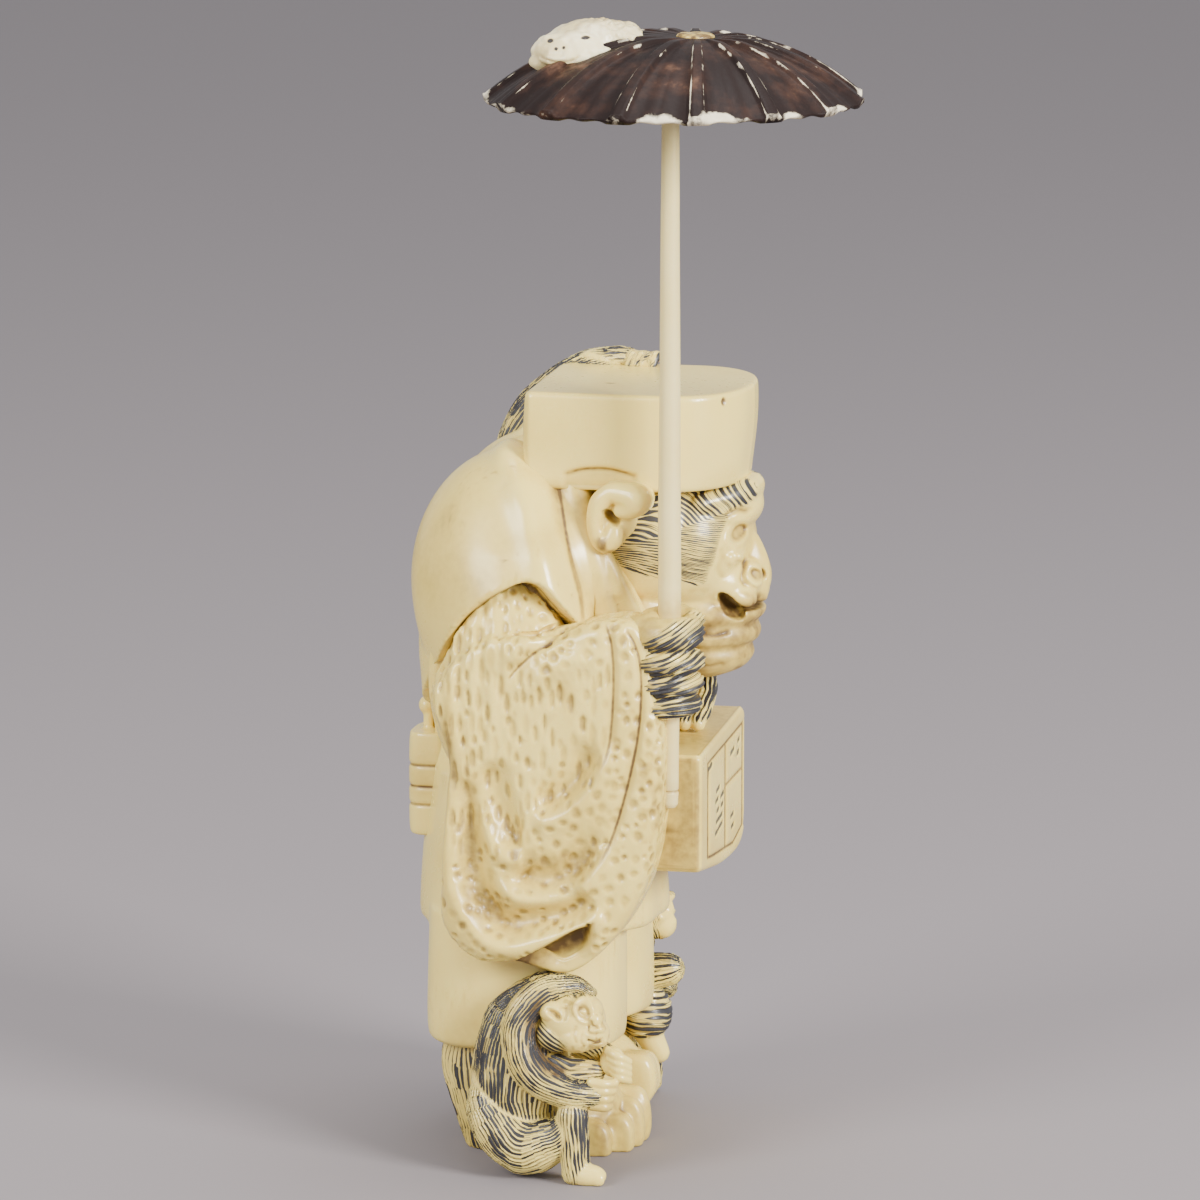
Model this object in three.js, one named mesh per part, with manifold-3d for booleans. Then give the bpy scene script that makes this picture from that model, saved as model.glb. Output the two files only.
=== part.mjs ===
// A netsuke-style carving of a robed monkey showman with three small monkeys, who holds a parasol.
// Pieces: figure (one carving), parasol_pole (a rod through the fist) and parasol_canopy (a ribbed
// shell with a frog carved on it). Millimetres, +X the way the figure faces, +Y its left, +Z up.
import * as THREE from "three";
import { mergeVertices } from "three/addons/utils/BufferGeometryUtils.js";
import Module from "manifold-3d";

// Driving dimensions
const HEM_Z = 33.5; // underside of the jacket
const TROUSER_Z = 16.5; // underside of the two trouser legs
const BODY_HALF_WIDTH = 21;
const HAT = { back: -2, front: 29, halfWidth: 15.3, bottom: 99.4, top: 113.6, edge: 0.9 };
const BOX = { back: 12, front: 25, near: -19, far: 15, bottom: 44.3, top: 61.8, edge: 1, belly: 2.6 };
const POLE = { x: 20.7, y: -21, bottom: 54.3, topRadius: 1.2, gripRadius: 1.7, gripZ: 80, footRadius: 1.3 };
const FIST = { bottom: 67, top: 82.4, fingers: 4 };
const CANOPY = {
  x: 21.3,
  y: -21,
  rimZ: 157.5,
  radius: 27,
  rise: 8.9,
  fullness: 2.6, // exponent of the dome's profile: higher is flatter on top
  thickness: 1.3,
  ribs: 15,
  ribHeight: 0.55,
  discRadius: 2.6,
  discShift: 3, // the ribs meet forward of the middle
};
const FIT_GAP = 0.3; // between the pole and what it passes through or meets

const IVORY = 0xe6d6ab;
const wasm = await Module();
wasm.setup();

// ---------------------------------------------------------------- solids from closed geometry

function solidOf(geometry) {
  geometry.deleteAttribute("normal");
  geometry.deleteAttribute("uv");
  const merged = mergeVertices(geometry, 1e-4);
  const triVerts = new Uint32Array(merged.index.array);
  const make = () =>
    new wasm.Manifold(
      new wasm.Mesh({ numProp: 3, vertProperties: merged.attributes.position.array, triVerts }),
    );
  const solid = make();
  if (solid.volume() > 0) return solid;
  for (let i = 0; i < triVerts.length; i += 3) {
    [triVerts[i + 1], triVerts[i + 2]] = [triVerts[i + 2], triVerts[i + 1]];
  }
  return make();
}

const joined = (solids) => wasm.Manifold.union(solids.flat(Infinity));

function geometryOf(solid) {
  const mesh = solid.getMesh();
  const geometry = new THREE.BufferGeometry();
  geometry.setAttribute("position", new THREE.BufferAttribute(mesh.vertProperties, 3));
  geometry.setIndex(new THREE.BufferAttribute(mesh.triVerts, 1));
  geometry.computeVertexNormals();
  return geometry;
}

// An ellipsoid: centre, half sizes, and a turn in degrees about X, Y and Z.
function ball(centre, half, { sides = 8, rows = 6, turn = [0, 0, 0] } = {}) {
  const geometry = new THREE.SphereGeometry(1, sides, rows);
  geometry.rotateX(Math.PI / 2);
  geometry.scale(...half);
  const angles = turn.map(THREE.MathUtils.degToRad);
  geometry.applyMatrix4(new THREE.Matrix4().makeRotationFromEuler(new THREE.Euler(...angles)));
  geometry.translate(...centre);
  return solidOf(geometry);
}

// A closed skin over rings of equally many points, with a middle point closing each end.
function skin(rings) {
  const sides = rings[0].length;
  const middle = (ring) =>
    ring.reduce((sum, p) => sum.add(p), new THREE.Vector3()).divideScalar(sides);
  const points = [...rings.flat(), middle(rings[0]), middle(rings.at(-1))];
  const index = [];
  for (let i = 0; i < sides; i++) {
    const next = (i + 1) % sides;
    for (let r = 0; r + 1 < rings.length; r++) {
      const a = r * sides;
      const b = a + sides;
      index.push(a + i, a + next, b + next, a + i, b + next, b + i);
    }
    const last = (rings.length - 1) * sides;
    index.push(points.length - 2, next, i, points.length - 1, last + i, last + next);
  }
  return solidOf(new THREE.BufferGeometry().setFromPoints(points).setIndex(index));
}

// A round limb through points, each [x, y, z, radius], with domed ends.
function limb(stations, { sides = 6, steps = 1, flat = 1 } = {}) {
  const curve = new THREE.CatmullRomCurve3(
    stations.map(([x, y, z]) => new THREE.Vector3(x, y, z)),
    false,
    "centripetal",
  );
  const last = stations.length - 1;
  const count = last * steps;
  const frames = curve.computeFrenetFrames(count, false);
  const radiusAt = (t) => {
    const whole = Math.min(last - 1, Math.floor(t * last));
    return THREE.MathUtils.lerp(stations[whole][3], stations[whole + 1][3], t * last - whole);
  };
  const ringAt = (i, along, share) => {
    const centre = curve.getPoint(i / count).addScaledVector(frames.tangents[i], along);
    return Array.from({ length: sides }, (_, k) => {
      const angle = (2 * Math.PI * k) / sides;
      const radius = radiusAt(i / count) * share;
      return centre
        .clone()
        .addScaledVector(frames.normals[i], Math.cos(angle) * radius)
        .addScaledVector(frames.binormals[i], Math.sin(angle) * radius * flat);
    });
  };
  const rings = [ringAt(0, -0.65 * stations[0][3], 0.6)];
  for (let i = 0; i <= count; i++) rings.push(ringAt(i, 0, 1));
  rings.push(ringAt(count, 0.65 * stations[last][3], 0.6));
  return skin(rings);
}

// Level sections, each { z, x, y, rx, ry, square }, from the bottom up.
function stack(sections, sides) {
  return skin(
    sections.map(({ z, x, y, rx, ry, square = 2.3 }) =>
      Array.from({ length: sides }, (_, k) => {
        const angle = (2 * Math.PI * (k + 0.5)) / sides;
        const c = Math.cos(angle);
        const s = Math.sin(angle);
        return new THREE.Vector3(
          x + rx * Math.sign(c) * Math.abs(c) ** (2 / square),
          y + ry * Math.sign(s) * Math.abs(s) ** (2 / square),
          z,
        );
      }),
    ),
  );
}

// A plate with eased edges: a closed outline, thick along +Z from zero.
function plate(outline, thickness, edge) {
  const geometry = new THREE.ExtrudeGeometry(outline, {
    depth: thickness - 2 * edge,
    bevelThickness: edge,
    bevelSize: edge,
    bevelOffset: -edge,
    bevelSegments: 1,
    curveSegments: 4,
  });
  return geometry.translate(0, 0, edge);
}

const mirrored = (solid) => solid.mirror([0, 1, 0]);

// ---------------------------------------------------------------- robe

// Jacket: hunched back, waist at the sash, and a flared hem.
function jacket() {
  const w = BODY_HALF_WIDTH;
  return stack(
    [
      { z: HEM_Z, x: -2.2, y: 0, rx: 16.4, ry: w - 2 },
      { z: HEM_Z + 1.5, x: -2.2, y: 0, rx: 18, ry: w - 0.4 },
      { z: 46, x: -2.4, y: 0, rx: 17.2, ry: w - 1 },
      { z: 60, x: -2.8, y: 0, rx: 15.2, ry: w - 1.8 },
      { z: 75, x: -4.2, y: 0, rx: 16, ry: w + 0.6 },
      { z: 82, x: -4.3, y: 0, rx: 15.4, ry: w + 0.8 },
      { z: 88, x: -3.6, y: 0, rx: 14.2, ry: w - 0.4 },
      { z: 93, x: -2.2, y: 0, rx: 12.4, ry: w - 2.4 },
      { z: 96.4, x: -0.8, y: 0, rx: 11, ry: w - 4.6 },
      { z: 100.5, x: 1.6, y: 0, rx: 8.8, ry: w - 8 },
      { z: 104.5, x: 4, y: 0, rx: 6.2, ry: w - 12.5 },
    ],
    16,
  );
}

function trouserLeg(side) {
  return stack(
    [
      { z: TROUSER_Z, x: -2.8, y: side * 9.8, rx: 12.4, ry: 8.6 },
      { z: TROUSER_Z + 2.5, x: -3, y: side * 10, rx: 14.6, ry: 10.6 },
      { z: HEM_Z + 3, x: -3, y: side * 9.2, rx: 14.4, ry: 10.8 },
    ],
    14,
  );
}

// The plain vest, drawn tight from shoulder to shoulder, with the patterned sleeves coming out from
// under its lower edge.
function vest() {
  const shoulder = ball([-4.7, -8.5, 85], [15.3, 15.2, 19.4], { sides: 12, rows: 7 });
  return joined([shoulder, mirrored(shoulder)]).hull();
}

function upperArm() {
  return ball([-4.6, -19.6, 69.5], [10.2, 6.4, 16.8], { sides: 9, rows: 6, turn: [0, -4, 0] });
}

// The near sleeve hangs from the raised forearm as a deep bag with a notch in its lower edge.
const SLEEVE_EDGE = [
  [3, 79.5],
  [11.3, 82.2],
  [17, 81.6],
  [19.6, 73],
  [20.7, 63],
  [19.6, 49],
  [16.4, 39.8],
  [11.6, 33.4],
  [6.4, 31.3],
  [3.2, 34.8],
  [-1.4, 31.6],
  [-6.4, 31.2],
  [-10.5, 34],
  [-12.4, 38.5],
  [-11.6, 47],
  [-11, 60],
  [-13.4, 71],
  [-6, 79],
];

function sleeveBag(outer, inner, share = 1) {
  const outline = new THREE.Shape(
    new THREE.SplineCurve(
      [...SLEEVE_EDGE, SLEEVE_EDGE[0]].map(
        ([x, z]) => new THREE.Vector2(x, 82 - (82 - z) * share),
      ),
    ).getPoints(22),
  );
  const slab = plate(outline, outer - inner, 2.6);
  return solidOf(slab.rotateX(Math.PI / 2)).translate([0, -inner, 0]);
}

// Rounded folds that hang from the cuff in nested U shapes.
const FOLD_DEPTH = 1.5;
const FOLDS = [
  [
    [12.8, 79],
    [14.4, 70],
    [11.4, 58.6],
    [3.4, 51.7],
    [-4.8, 52.2],
    [-8.2, 61],
  ],
  [
    [15.6, 79.4],
    [18, 65.4],
    [13.8, 50.4],
    [8.6, 43.8],
    [1.6, 41.4],
    [-5.8, 45.6],
    [-9.2, 57],
  ],
  [
    [17.6, 76],
    [19, 60],
    [17.2, 47.6],
    [11.6, 38.9],
    [2.9, 36.6],
    [-6.2, 35.6],
    [-10.4, 48],
  ],
];

function sleeveFolds(y) {
  return FOLDS.map((line) =>
    limb(
      line.map(([x, z], i) => [x, y, z, i === 0 || i === line.length - 1 ? 0.9 : FOLD_DEPTH]),
      { sides: 5 },
    ),
  );
}

function forearm() {
  return limb(
    [
      [-4.6, -20.5, 67, 6],
      [4, -22.4, 74.6, 5.6],
      [12, -22.6, 77.4, 4.7],
      [17.4, -22, 77.6, 4],
    ],
    { sides: 7 },
  );
}

function collar() {
  const strips = [
    [
      [-1.4, -9.5, 104.6, 1.9],
      [3.4, -13.6, 101.4, 2],
      [6.6, -15.6, 94.4, 1.9],
      [8.8, -15.6, 87, 1.7],
      [11, -14.6, 79.5, 1.5],
    ],
    [
      [3, -11.4, 104, 1.5],
      [7, -13.8, 97.6, 1.6],
      [9.6, -14, 91.4, 1.6],
      [14.6, -12.4, 82, 1.5],
    ],
  ];
  return strips.map((strip) => limb(strip, { sides: 4 }));
}

// A four-tier case hangs at the back from a knotted cord, with a groove between each two tiers.
const CASE = { x: -17.8, y: -5.2, bottom: 46, tiers: 4, tierHeight: 3.7 };

function sashCase() {
  const { x, y, bottom, tiers, tierHeight } = CASE;
  const ring = (z, depth) => ({ z, x, y, rx: depth, ry: depth + 1.6, square: 2.8 });
  const rings = [ring(bottom, 2.6)];
  for (let i = 0; i < tiers; i++) {
    rings.push(ring(bottom + tierHeight * (i + 0.5), 3.4), ring(bottom + tierHeight * (i + 1), 2.6));
  }
  const cord = limb(
    [
      [-18.7, -5, 60, 1.2],
      [-17.6, -5, 68.6, 1.4],
    ],
    { sides: 5 },
  );
  return [stack(rings, 8), cord];
}

function peepBox() {
  const width = BOX.far - BOX.near;
  const height = BOX.top - BOX.bottom;
  const corner = 2.2;
  const outline = new THREE.Shape();
  outline.moveTo(0.6, 0);
  outline.quadraticCurveTo(width * 0.45, -BOX.belly, width * 0.72, -BOX.belly);
  outline.quadraticCurveTo(width, -BOX.belly, width, corner);
  outline.lineTo(width, height - corner);
  outline.quadraticCurveTo(width, height, width - corner, height);
  outline.lineTo(0.6, height);
  outline.lineTo(0, height - 0.6);
  outline.lineTo(0, 0.6);
  const slab = plate(outline, BOX.front - BOX.back, BOX.edge);
  slab.rotateX(Math.PI / 2).rotateZ(Math.PI / 2);
  return solidOf(slab.translate(BOX.back, BOX.near, BOX.bottom));
}

// ---------------------------------------------------------------- head

function hat() {
  const { back, front, halfWidth: w } = HAT;
  const outline = new THREE.Shape();
  outline.moveTo(back, -w + 0.6);
  outline.lineTo(back + 0.6, -w);
  outline.lineTo(front - 9, -w);
  outline.bezierCurveTo(front - 2.5, -w + 1.5, front, -w * 0.55, front, 0);
  outline.bezierCurveTo(front, w * 0.55, front - 2.5, w - 1.5, front - 9, w);
  outline.lineTo(back + 2.5, w);
  outline.quadraticCurveTo(back - 1, w, back - 1, w - 4);
  return solidOf(plate(outline, HAT.top - HAT.bottom, HAT.edge)).translate([0, 0, HAT.bottom]);
}

function ear() {
  const curl = limb(
    [
      [15, -17.4, 98.2, 1.8],
      [12.2, -17.6, 99.4, 1.6],
      [8.8, -17.2, 97.2, 1.3],
      [8.8, -17, 93.6, 1.3],
      [11.6, -17.2, 91.8, 1.5],
    ],
    { sides: 5 },
  );
  const hollow = ball([12.6, -16, 95.8], [3.6, 2, 3.4], { sides: 6, rows: 4 });
  return [curl, hollow, ball([14, -16.6, 96], [1.7, 1.6, 1.6], { sides: 5, rows: 3 })];
}

// Lower lip and jaw above two rolls of chin, each set back from the one above.
function jawRolls() {
  return stack(
    [
      { z: 69.3, x: 19, y: 0, rx: 6.4, ry: 5.6 },
      { z: 71.3, x: 19.6, y: 0, rx: 8.7, ry: 7.6 },
      { z: 72.9, x: 20, y: 0, rx: 7.4, ry: 7 },
      { z: 73.8, x: 21, y: 0, rx: 8.3, ry: 8.2 },
      { z: 75.2, x: 21.2, y: 0, rx: 7.6, ry: 7.8 },
      { z: 77, x: 22, y: 0, rx: 8.2, ry: 8.8 },
      { z: 79.4, x: 21.8, y: 0, rx: 7.4, ry: 8.2 },
      { z: 81, x: 21, y: 0, rx: 5.6, ry: 6.6 },
    ],
    10,
  );
}

function face() {
  const muzzle = [
    ball([13.4, 0, 91.5], [13.4, 15, 12.6], { sides: 8, rows: 6 }),
    ball([19.4, 0, 90], [9.6, 12.6, 12], { sides: 10, rows: 6 }),
    ball([24.2, 0, 84.2], [6.9, 8.4, 5.2], { sides: 8, rows: 6, turn: [0, 24, 0] }),
    jawRolls(),
    ball([11.5, 0, 79], [11, 12.4, 9.5], { sides: 6, rows: 5 }),
  ];
  const brow = limb(
    [
      [24, -9.4, 96.4, 1.6],
      [28, -4.6, 97.9, 1.9],
      [28, 4.6, 97.9, 1.9],
      [24, 9.4, 96.4, 1.6],
    ],
    { sides: 5 },
  );
  const nose = limb(
    [
      [26.4, 0, 93.4, 1.8],
      [28.5, 0, 89, 2.2],
      [28.9, 0, 85.4, 2.7],
    ],
    { sides: 5 },
  );
  const nostrilWing = ball([28.2, -3, 85.2], [2.2, 2, 2], { sides: 5, rows: 3 });
  const features = [brow, nose, nostrilWing, mirrored(nostrilWing)];
  return joined([...muzzle, ...features]);
}

function faceHollows() {
  const eye = ball([28, -5.6, 92.4], [2.1, 1.5, 1.9], { sides: 5, rows: 3 });
  const mouthCorner = ball([27.4, -7.4, 82.3], [3.7, 3.2, 1.3], { sides: 6, rows: 4, turn: [0, 38, 0] });
  return joined([eye, mirrored(eye), mouthCorner, mirrored(mouthCorner)]);
}

// ---------------------------------------------------------------- hands and feet

// Four fingers wrap the pole, one above the other: rings that swell at each finger.
function fist() {
  const pitch = (FIST.top - FIST.bottom) / FIST.fingers;
  const ring = (z, reach) => ({ z, x: POLE.x, y: POLE.y - 0.4, rx: reach, ry: reach * 0.92, square: 2.6 });
  const rings = [ring(FIST.bottom, 3.2)];
  for (let i = 0; i < FIST.fingers; i++) {
    const z = FIST.bottom + pitch * i;
    const reach = 4.9 + 0.22 * i;
    rings.push(ring(z + pitch * 0.28, reach), ring(z + pitch * 0.74, reach));
    rings.push(ring(z + pitch, i < FIST.fingers - 1 ? reach - 0.9 : 3.2));
  }
  const thumb = limb(
    [
      [POLE.x - 5.4, POLE.y - 1, 80, 2.2],
      [POLE.x - 0.6, POLE.y + 0.8, 81, 2.1],
      [POLE.x + 3.4, POLE.y + 1.6, 80.8, 1.7],
    ],
    { sides: 5 },
  );
  return [stack(rings, 9), thumb];
}

// The other hand rests on the box with its fingers bent over.
function restingHand() {
  const fingers = Array.from({ length: 4 }, (_, i) => {
    const y = 1.4 + 2.9 * i;
    return limb(
      [
        [19.4, y + 0.7, 69, 1.6],
        [23, y - 0.3, 63.2, 1.3],
      ],
      { sides: 4 },
    );
  });
  const wrist = limb(
    [
      [9, 15, 71, 4.2],
      [15.5, 8, 68.2, 4],
      [19.4, 6, 66, 3.6],
    ],
    { sides: 5 },
  );
  return [...fingers, wrist];
}

function leg(side, shift) {
  return limb(
    [
      [-3.4 + shift, side * 9.4, 24, 8],
      [-6.9 + shift, side * 9.2, 14, 8.9],
      [-5.9 + shift, side * 9, 4, 7.6],
    ],
    { sides: 7, flat: 0.85 },
  );
}

// Blocky toes, tallest at the inner side, in front of a domed instep.
function foot(side, shift) {
  const toes = Array.from({ length: 4 }, (_, i) => {
    const height = 8.6 - 1.05 * i;
    const toe = (z, reach) => ({
      z,
      x: 8.6 - 0.4 * i * i + shift + reach / 3,
      y: side * (3.5 + 3.35 * i),
      rx: reach,
      ry: 1.95,
      square: 3,
    });
    return stack([toe(-0.5, 4.2), toe(height * 0.5, 4.4), toe(height * 0.86, 3), toe(height, 1.4)], 6);
  });
  const instep = ball([-1 + shift, side * 8.4, 7.4], [11, 6.8, 7.6], { sides: 6, rows: 4 });
  return [...toes, instep];
}

// ---------------------------------------------------------------- small monkeys

// The head of a small monkey, looking along +X before its turn about Z.
function smallHead(centre, radius, turn = 0) {
  const r = radius;
  const parts = [
    ball([0, 0, 0], [r, r * 0.92, r], { sides: 7, rows: 5 }),
    ball([r * 0.7, 0, -r * 0.38], [r * 0.5, r * 0.55, r * 0.5], { sides: 5, rows: 4 }),
    ball([r * 0.62, 0, r * 0.36], [r * 0.42, r * 0.74, r * 0.24], { sides: 5, rows: 3 }),
    ball([-r * 0.1, -r * 0.94, r * 0.1], [r * 0.26, r * 0.22, r * 0.38], { sides: 5, rows: 3 }),
    ball([-r * 0.1, r * 0.94, r * 0.1], [r * 0.26, r * 0.22, r * 0.38], { sides: 5, rows: 3 }),
  ];
  return joined(parts).rotate([0, 0, turn]).translate(centre);
}

// Sits at the right foot, arms folded forward over a raised knee.
function seatedMonkey() {
  return [
    limb(
      [
        [-0.6, -23, 6.4, 6],
        [-0.9, -23.4, 13, 7.3],
        [-0.2, -22.8, 20.5, 6.6],
        [3.4, -23.4, 25.4, 4.8],
      ],
      { sides: 7 },
    ),
    smallHead([7.6, -26, 23], 4.6, -14),
    limb(
      [
        [-1.6, -27.4, 22.6, 2.9],
        [1.8, -29.6, 16.4, 2.8],
        [6.4, -30, 13.8, 2.4],
        [13.6, -27.4, 13.6, 1.7],
      ],
      { sides: 5 },
    ),
    limb(
      [
        [6, -19.5, 19, 2.4],
        [11, -20.5, 16.6, 2.1],
        [13.6, -23.8, 15.8, 1.7],
      ],
      { sides: 5 },
    ),
    limb(
      [
        [-1, -26.4, 5.4, 4.6],
        [4.4, -28.8, 8.8, 3.4],
        [8, -29.6, 9.8, 2.5],
      ],
      { sides: 5 },
    ),
    limb(
      [
        [8.2, -29.8, 10, 2.3],
        [8.8, -30, 1.6, 2.1],
      ],
      { sides: 5 },
    ),
    ball([10.2, -30.2, 1.2], [3, 1.9, 1.7], { sides: 5, rows: 4 }),
  ];
}

// Clings behind the hat, with one hand over its edge.
function shoulderMonkey() {
  return [
    limb(
      [
        [-10.6, 14.2, 96, 5],
        [-6, 15.6, 103.6, 6.7],
        [0.4, 16.4, 109.4, 5.8],
        [4, 16.6, 111.8, 4],
      ],
      { sides: 7 },
    ),
    smallHead([7.6, 20, 105.6], 4.6, 30),
    limb(
      [
        [2, 15.6, 112.6, 2.5],
        [8.4, 14.2, 114.5, 1.5],
      ],
      { sides: 5 },
    ),
    ball([9.4, 13.6, 114.4], [2.3, 2.6, 1.6], { sides: 5, rows: 4 }),
    limb(
      [
        [0, 21, 104, 2.2],
        [5.4, 23, 100, 1.8],
        [10, 20, 99, 1.5],
      ],
      { sides: 5 },
    ),
    limb(
      [
        [-8, 18, 96.4, 3.8],
        [-1.4, 21, 98.4, 3],
        [0.4, 21.8, 93.4, 2.2],
        [3.6, 20.6, 90.6, 1.6],
      ],
      { sides: 5 },
    ),
  ];
}

// Perches on the left foot, looking out past the trouser leg.
function perchedMonkey() {
  return [
    limb(
      [
        [2, 20.4, 10, 5.2],
        [2.6, 21.4, 17, 6.2],
        [5.6, 20.6, 25.4, 4.6],
      ],
      { sides: 7 },
    ),
    smallHead([9, 19, 28.6], 4.3, -8),
    limb(
      [
        [4, 19.4, 17.4, 4],
        [12.6, 17.9, 20.9, 2.6],
      ],
      { sides: 5 },
    ),
    ball([8.8, 18, 14.2], [3.9, 4, 4.4], { sides: 5, rows: 4 }),
    limb(
      [
        [9.6, 18, 10.6, 2.2],
        [11.2, 18, 8, 1.7],
      ],
      { sides: 5 },
    ),
    limb(
      [
        [2.4, 26.4, 24, 2.6],
        [6, 27, 18.4, 2.3],
        [11, 24.6, 16.6, 1.8],
      ],
      { sides: 5 },
    ),
    limb(
      [
        [1, 24, 8.4, 4],
        [6.4, 25.6, 9.6, 2.8],
        [8.4, 25.2, 1.4, 1.9],
      ],
      { sides: 5 },
    ),
    ball([1.4, 20.6, 5], [6, 6, 6], { sides: 5, rows: 4 }),
  ];
}

// ---------------------------------------------------------------- parasol

function roundBar(stations, sides) {
  const profile = stations.map(([radius, z]) => new THREE.Vector2(radius, z));
  const axis = [new THREE.Vector2(0, stations[0][1]), ...profile];
  axis.push(new THREE.Vector2(0, stations.at(-1)[1]));
  const geometry = new THREE.LatheGeometry(axis, sides);
  return solidOf(geometry.rotateX(Math.PI / 2));
}

const domeZ = (x, y) => {
  const share = Math.min(1, Math.hypot(x - CANOPY.x, y - CANOPY.y) / CANOPY.radius);
  return CANOPY.rimZ + CANOPY.rise * (1 - share ** CANOPY.fullness);
};

function poleTopZ() {
  return domeZ(POLE.x, POLE.y) - CANOPY.thickness - FIT_GAP;
}

function polePoints(extra = 0) {
  const top = poleTopZ() + extra;
  return [
    [POLE.footRadius - 0.3 + extra, POLE.bottom - extra],
    [POLE.footRadius + extra, POLE.bottom + 0.6],
    [POLE.footRadius + 0.1 + extra, FIST.bottom],
    [POLE.gripRadius + extra, POLE.gripZ],
    [POLE.topRadius + extra, top],
  ];
}

function pole() {
  return roundBar(polePoints(), 10).translate([POLE.x, POLE.y, 0]);
}

function poleHole() {
  return roundBar(polePoints(FIT_GAP), 10).translate([POLE.x, POLE.y, 0]);
}

// The ribs run from the disc to the rim as narrow raised bands, with slack panels between them.
const COLUMNS_PER_RIB = 2;
function canopyPoint(share, column, drop) {
  const columns = CANOPY.ribs * COLUMNS_PER_RIB;
  const angle = (2 * Math.PI * column) / columns;
  const onRib = column % COLUMNS_PER_RIB === 0;
  const reach = CANOPY.radius * (onRib ? 1.01 : 0.985);
  const rimX = CANOPY.x + reach * Math.cos(angle);
  const rimY = CANOPY.y + reach * Math.sin(angle);
  const discX = CANOPY.x + CANOPY.discShift + CANOPY.discRadius * Math.cos(angle);
  const discY = CANOPY.y + CANOPY.discRadius * Math.sin(angle);
  const x = THREE.MathUtils.lerp(discX, rimX, share);
  const y = THREE.MathUtils.lerp(discY, rimY, share);
  const raised = onRib && !drop ? CANOPY.ribHeight * Math.min(1, share * 3) : 0;
  const inward = drop * 0.5 * share;
  return new THREE.Vector3(
    x - inward * Math.cos(angle),
    y - inward * Math.sin(angle),
    domeZ(x, y) + raised - drop * (1 - 0.4 * share),
  );
}

function canopyShell() {
  const columns = CANOPY.ribs * COLUMNS_PER_RIB;
  const ring = (share, drop) =>
    Array.from({ length: columns }, (_, i) => canopyPoint(share, i, drop));
  const under = [0, 0.5, 1].map((share) => ring(share, CANOPY.thickness));
  const over = [1, 0.78, 0.46, 0].map((share) => ring(share, 0));
  const shell = skin([...under, ...over]);
  const discX = CANOPY.x + CANOPY.discShift;
  const disc = roundBar(
    [
      [CANOPY.discRadius + 0.2, domeZ(discX, CANOPY.y) - 0.8],
      [CANOPY.discRadius, domeZ(discX, CANOPY.y) + 0.4],
    ],
    10,
  ).translate([discX, CANOPY.y, 0]);
  return [shell, disc];
}

function frog() {
  const { x, y } = CANOPY;
  return [
    ball([x - 12.2, y - 0.4, 165.1], [6.3, 5.4, 3], { sides: 8, rows: 5, turn: [0, -10, 0] }),
    ball([x - 15.2, y - 4.6, 163.9], [4.1, 3.8, 2.5], { sides: 7, rows: 5, turn: [12, -8, 0] }),
    ball([x - 17.2, y - 6, 165.7], [0.9, 0.9, 0.9], { sides: 5, rows: 3 }),
    ball([x - 12.9, y - 6.4, 166.1], [0.9, 0.9, 0.9], { sides: 5, rows: 3 }),
    ball([x - 7.8, y + 0.6, 166.3], [3.5, 3.2, 2], { sides: 6, rows: 4, turn: [0, 8, 0] }),
    ball([x - 18.2, y - 0.6, 164.2], [2.1, 3.6, 2.5], { sides: 6, rows: 4 }),
    ball([x - 17.8, y - 6.4, 161.8], [1.8, 1.9, 1.6], { sides: 5, rows: 4 }),
    ball([x - 9.4, y - 5.6, 163.6], [2.6, 1.9, 1.7], { sides: 6, rows: 4 }),
  ];
}

// ---------------------------------------------------------------- the whole carving

function figure() {
  const nearArm = [upperArm(), sleeveBag(27, 16), sleeveFolds(-26.4), forearm()];
  const farArm = mirrored(joined([upperArm(), sleeveBag(25.4, 16, 0.86), forearm()]));
  const robe = [jacket(), trouserLeg(-1), trouserLeg(1), vest()];
  const near = joined([ear(), collar()]);
  const carved = joined([
    robe,
    nearArm,
    farArm,
    near,
    mirrored(near),
    hat(),
    face().subtract(faceHollows()),
    peepBox(),
    sashCase(),
    restingHand(),
    fist(),
    [leg(-1, 0), leg(1, -1.5), foot(-1, 0), foot(1, -1.5)],
    seatedMonkey(),
    shoulderMonkey(),
    perchedMonkey(),
  ]);
  const ground = new THREE.BoxGeometry(200, 200, 40).translate(0, 0, -20);
  return outerBody(carved.subtract(solidOf(ground)).subtract(poleHole()));
}

// The carving is solid ivory: pockets sealed inside where forms meet are filled.
function outerBody(solid) {
  return solid.decompose().reduce((a, b) => (a.volume() > b.volume() ? a : b));
}

function piece(name, solid, color, roughness) {
  const material = new THREE.MeshStandardMaterial({ color, roughness, metalness: 0 });
  const mesh = new THREE.Mesh(geometryOf(solid), material);
  mesh.name = name;
  return mesh;
}

const netsuke = new THREE.Group();
const canopy = joined([canopyShell(), frog()]).subtract(poleHole());
netsuke.add(
  piece("figure", figure(), IVORY, 0.35),
  piece("parasol_pole", pole(), 0xe3d3b4, 0.4),
  piece("parasol_canopy", canopy, 0x40291f, 0.45),
);

// The frame's origin is the bottom centre of the whole object's box.
const extent = new THREE.Box3().setFromObject(netsuke);
const middle = extent.getCenter(new THREE.Vector3());
netsuke.position.set(-middle.x, -middle.y, -extent.min.z);

export default netsuke;
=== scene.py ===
import math

import bmesh
import bpy
import numpy as np
from mathutils import Euler, Matrix, Vector


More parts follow.
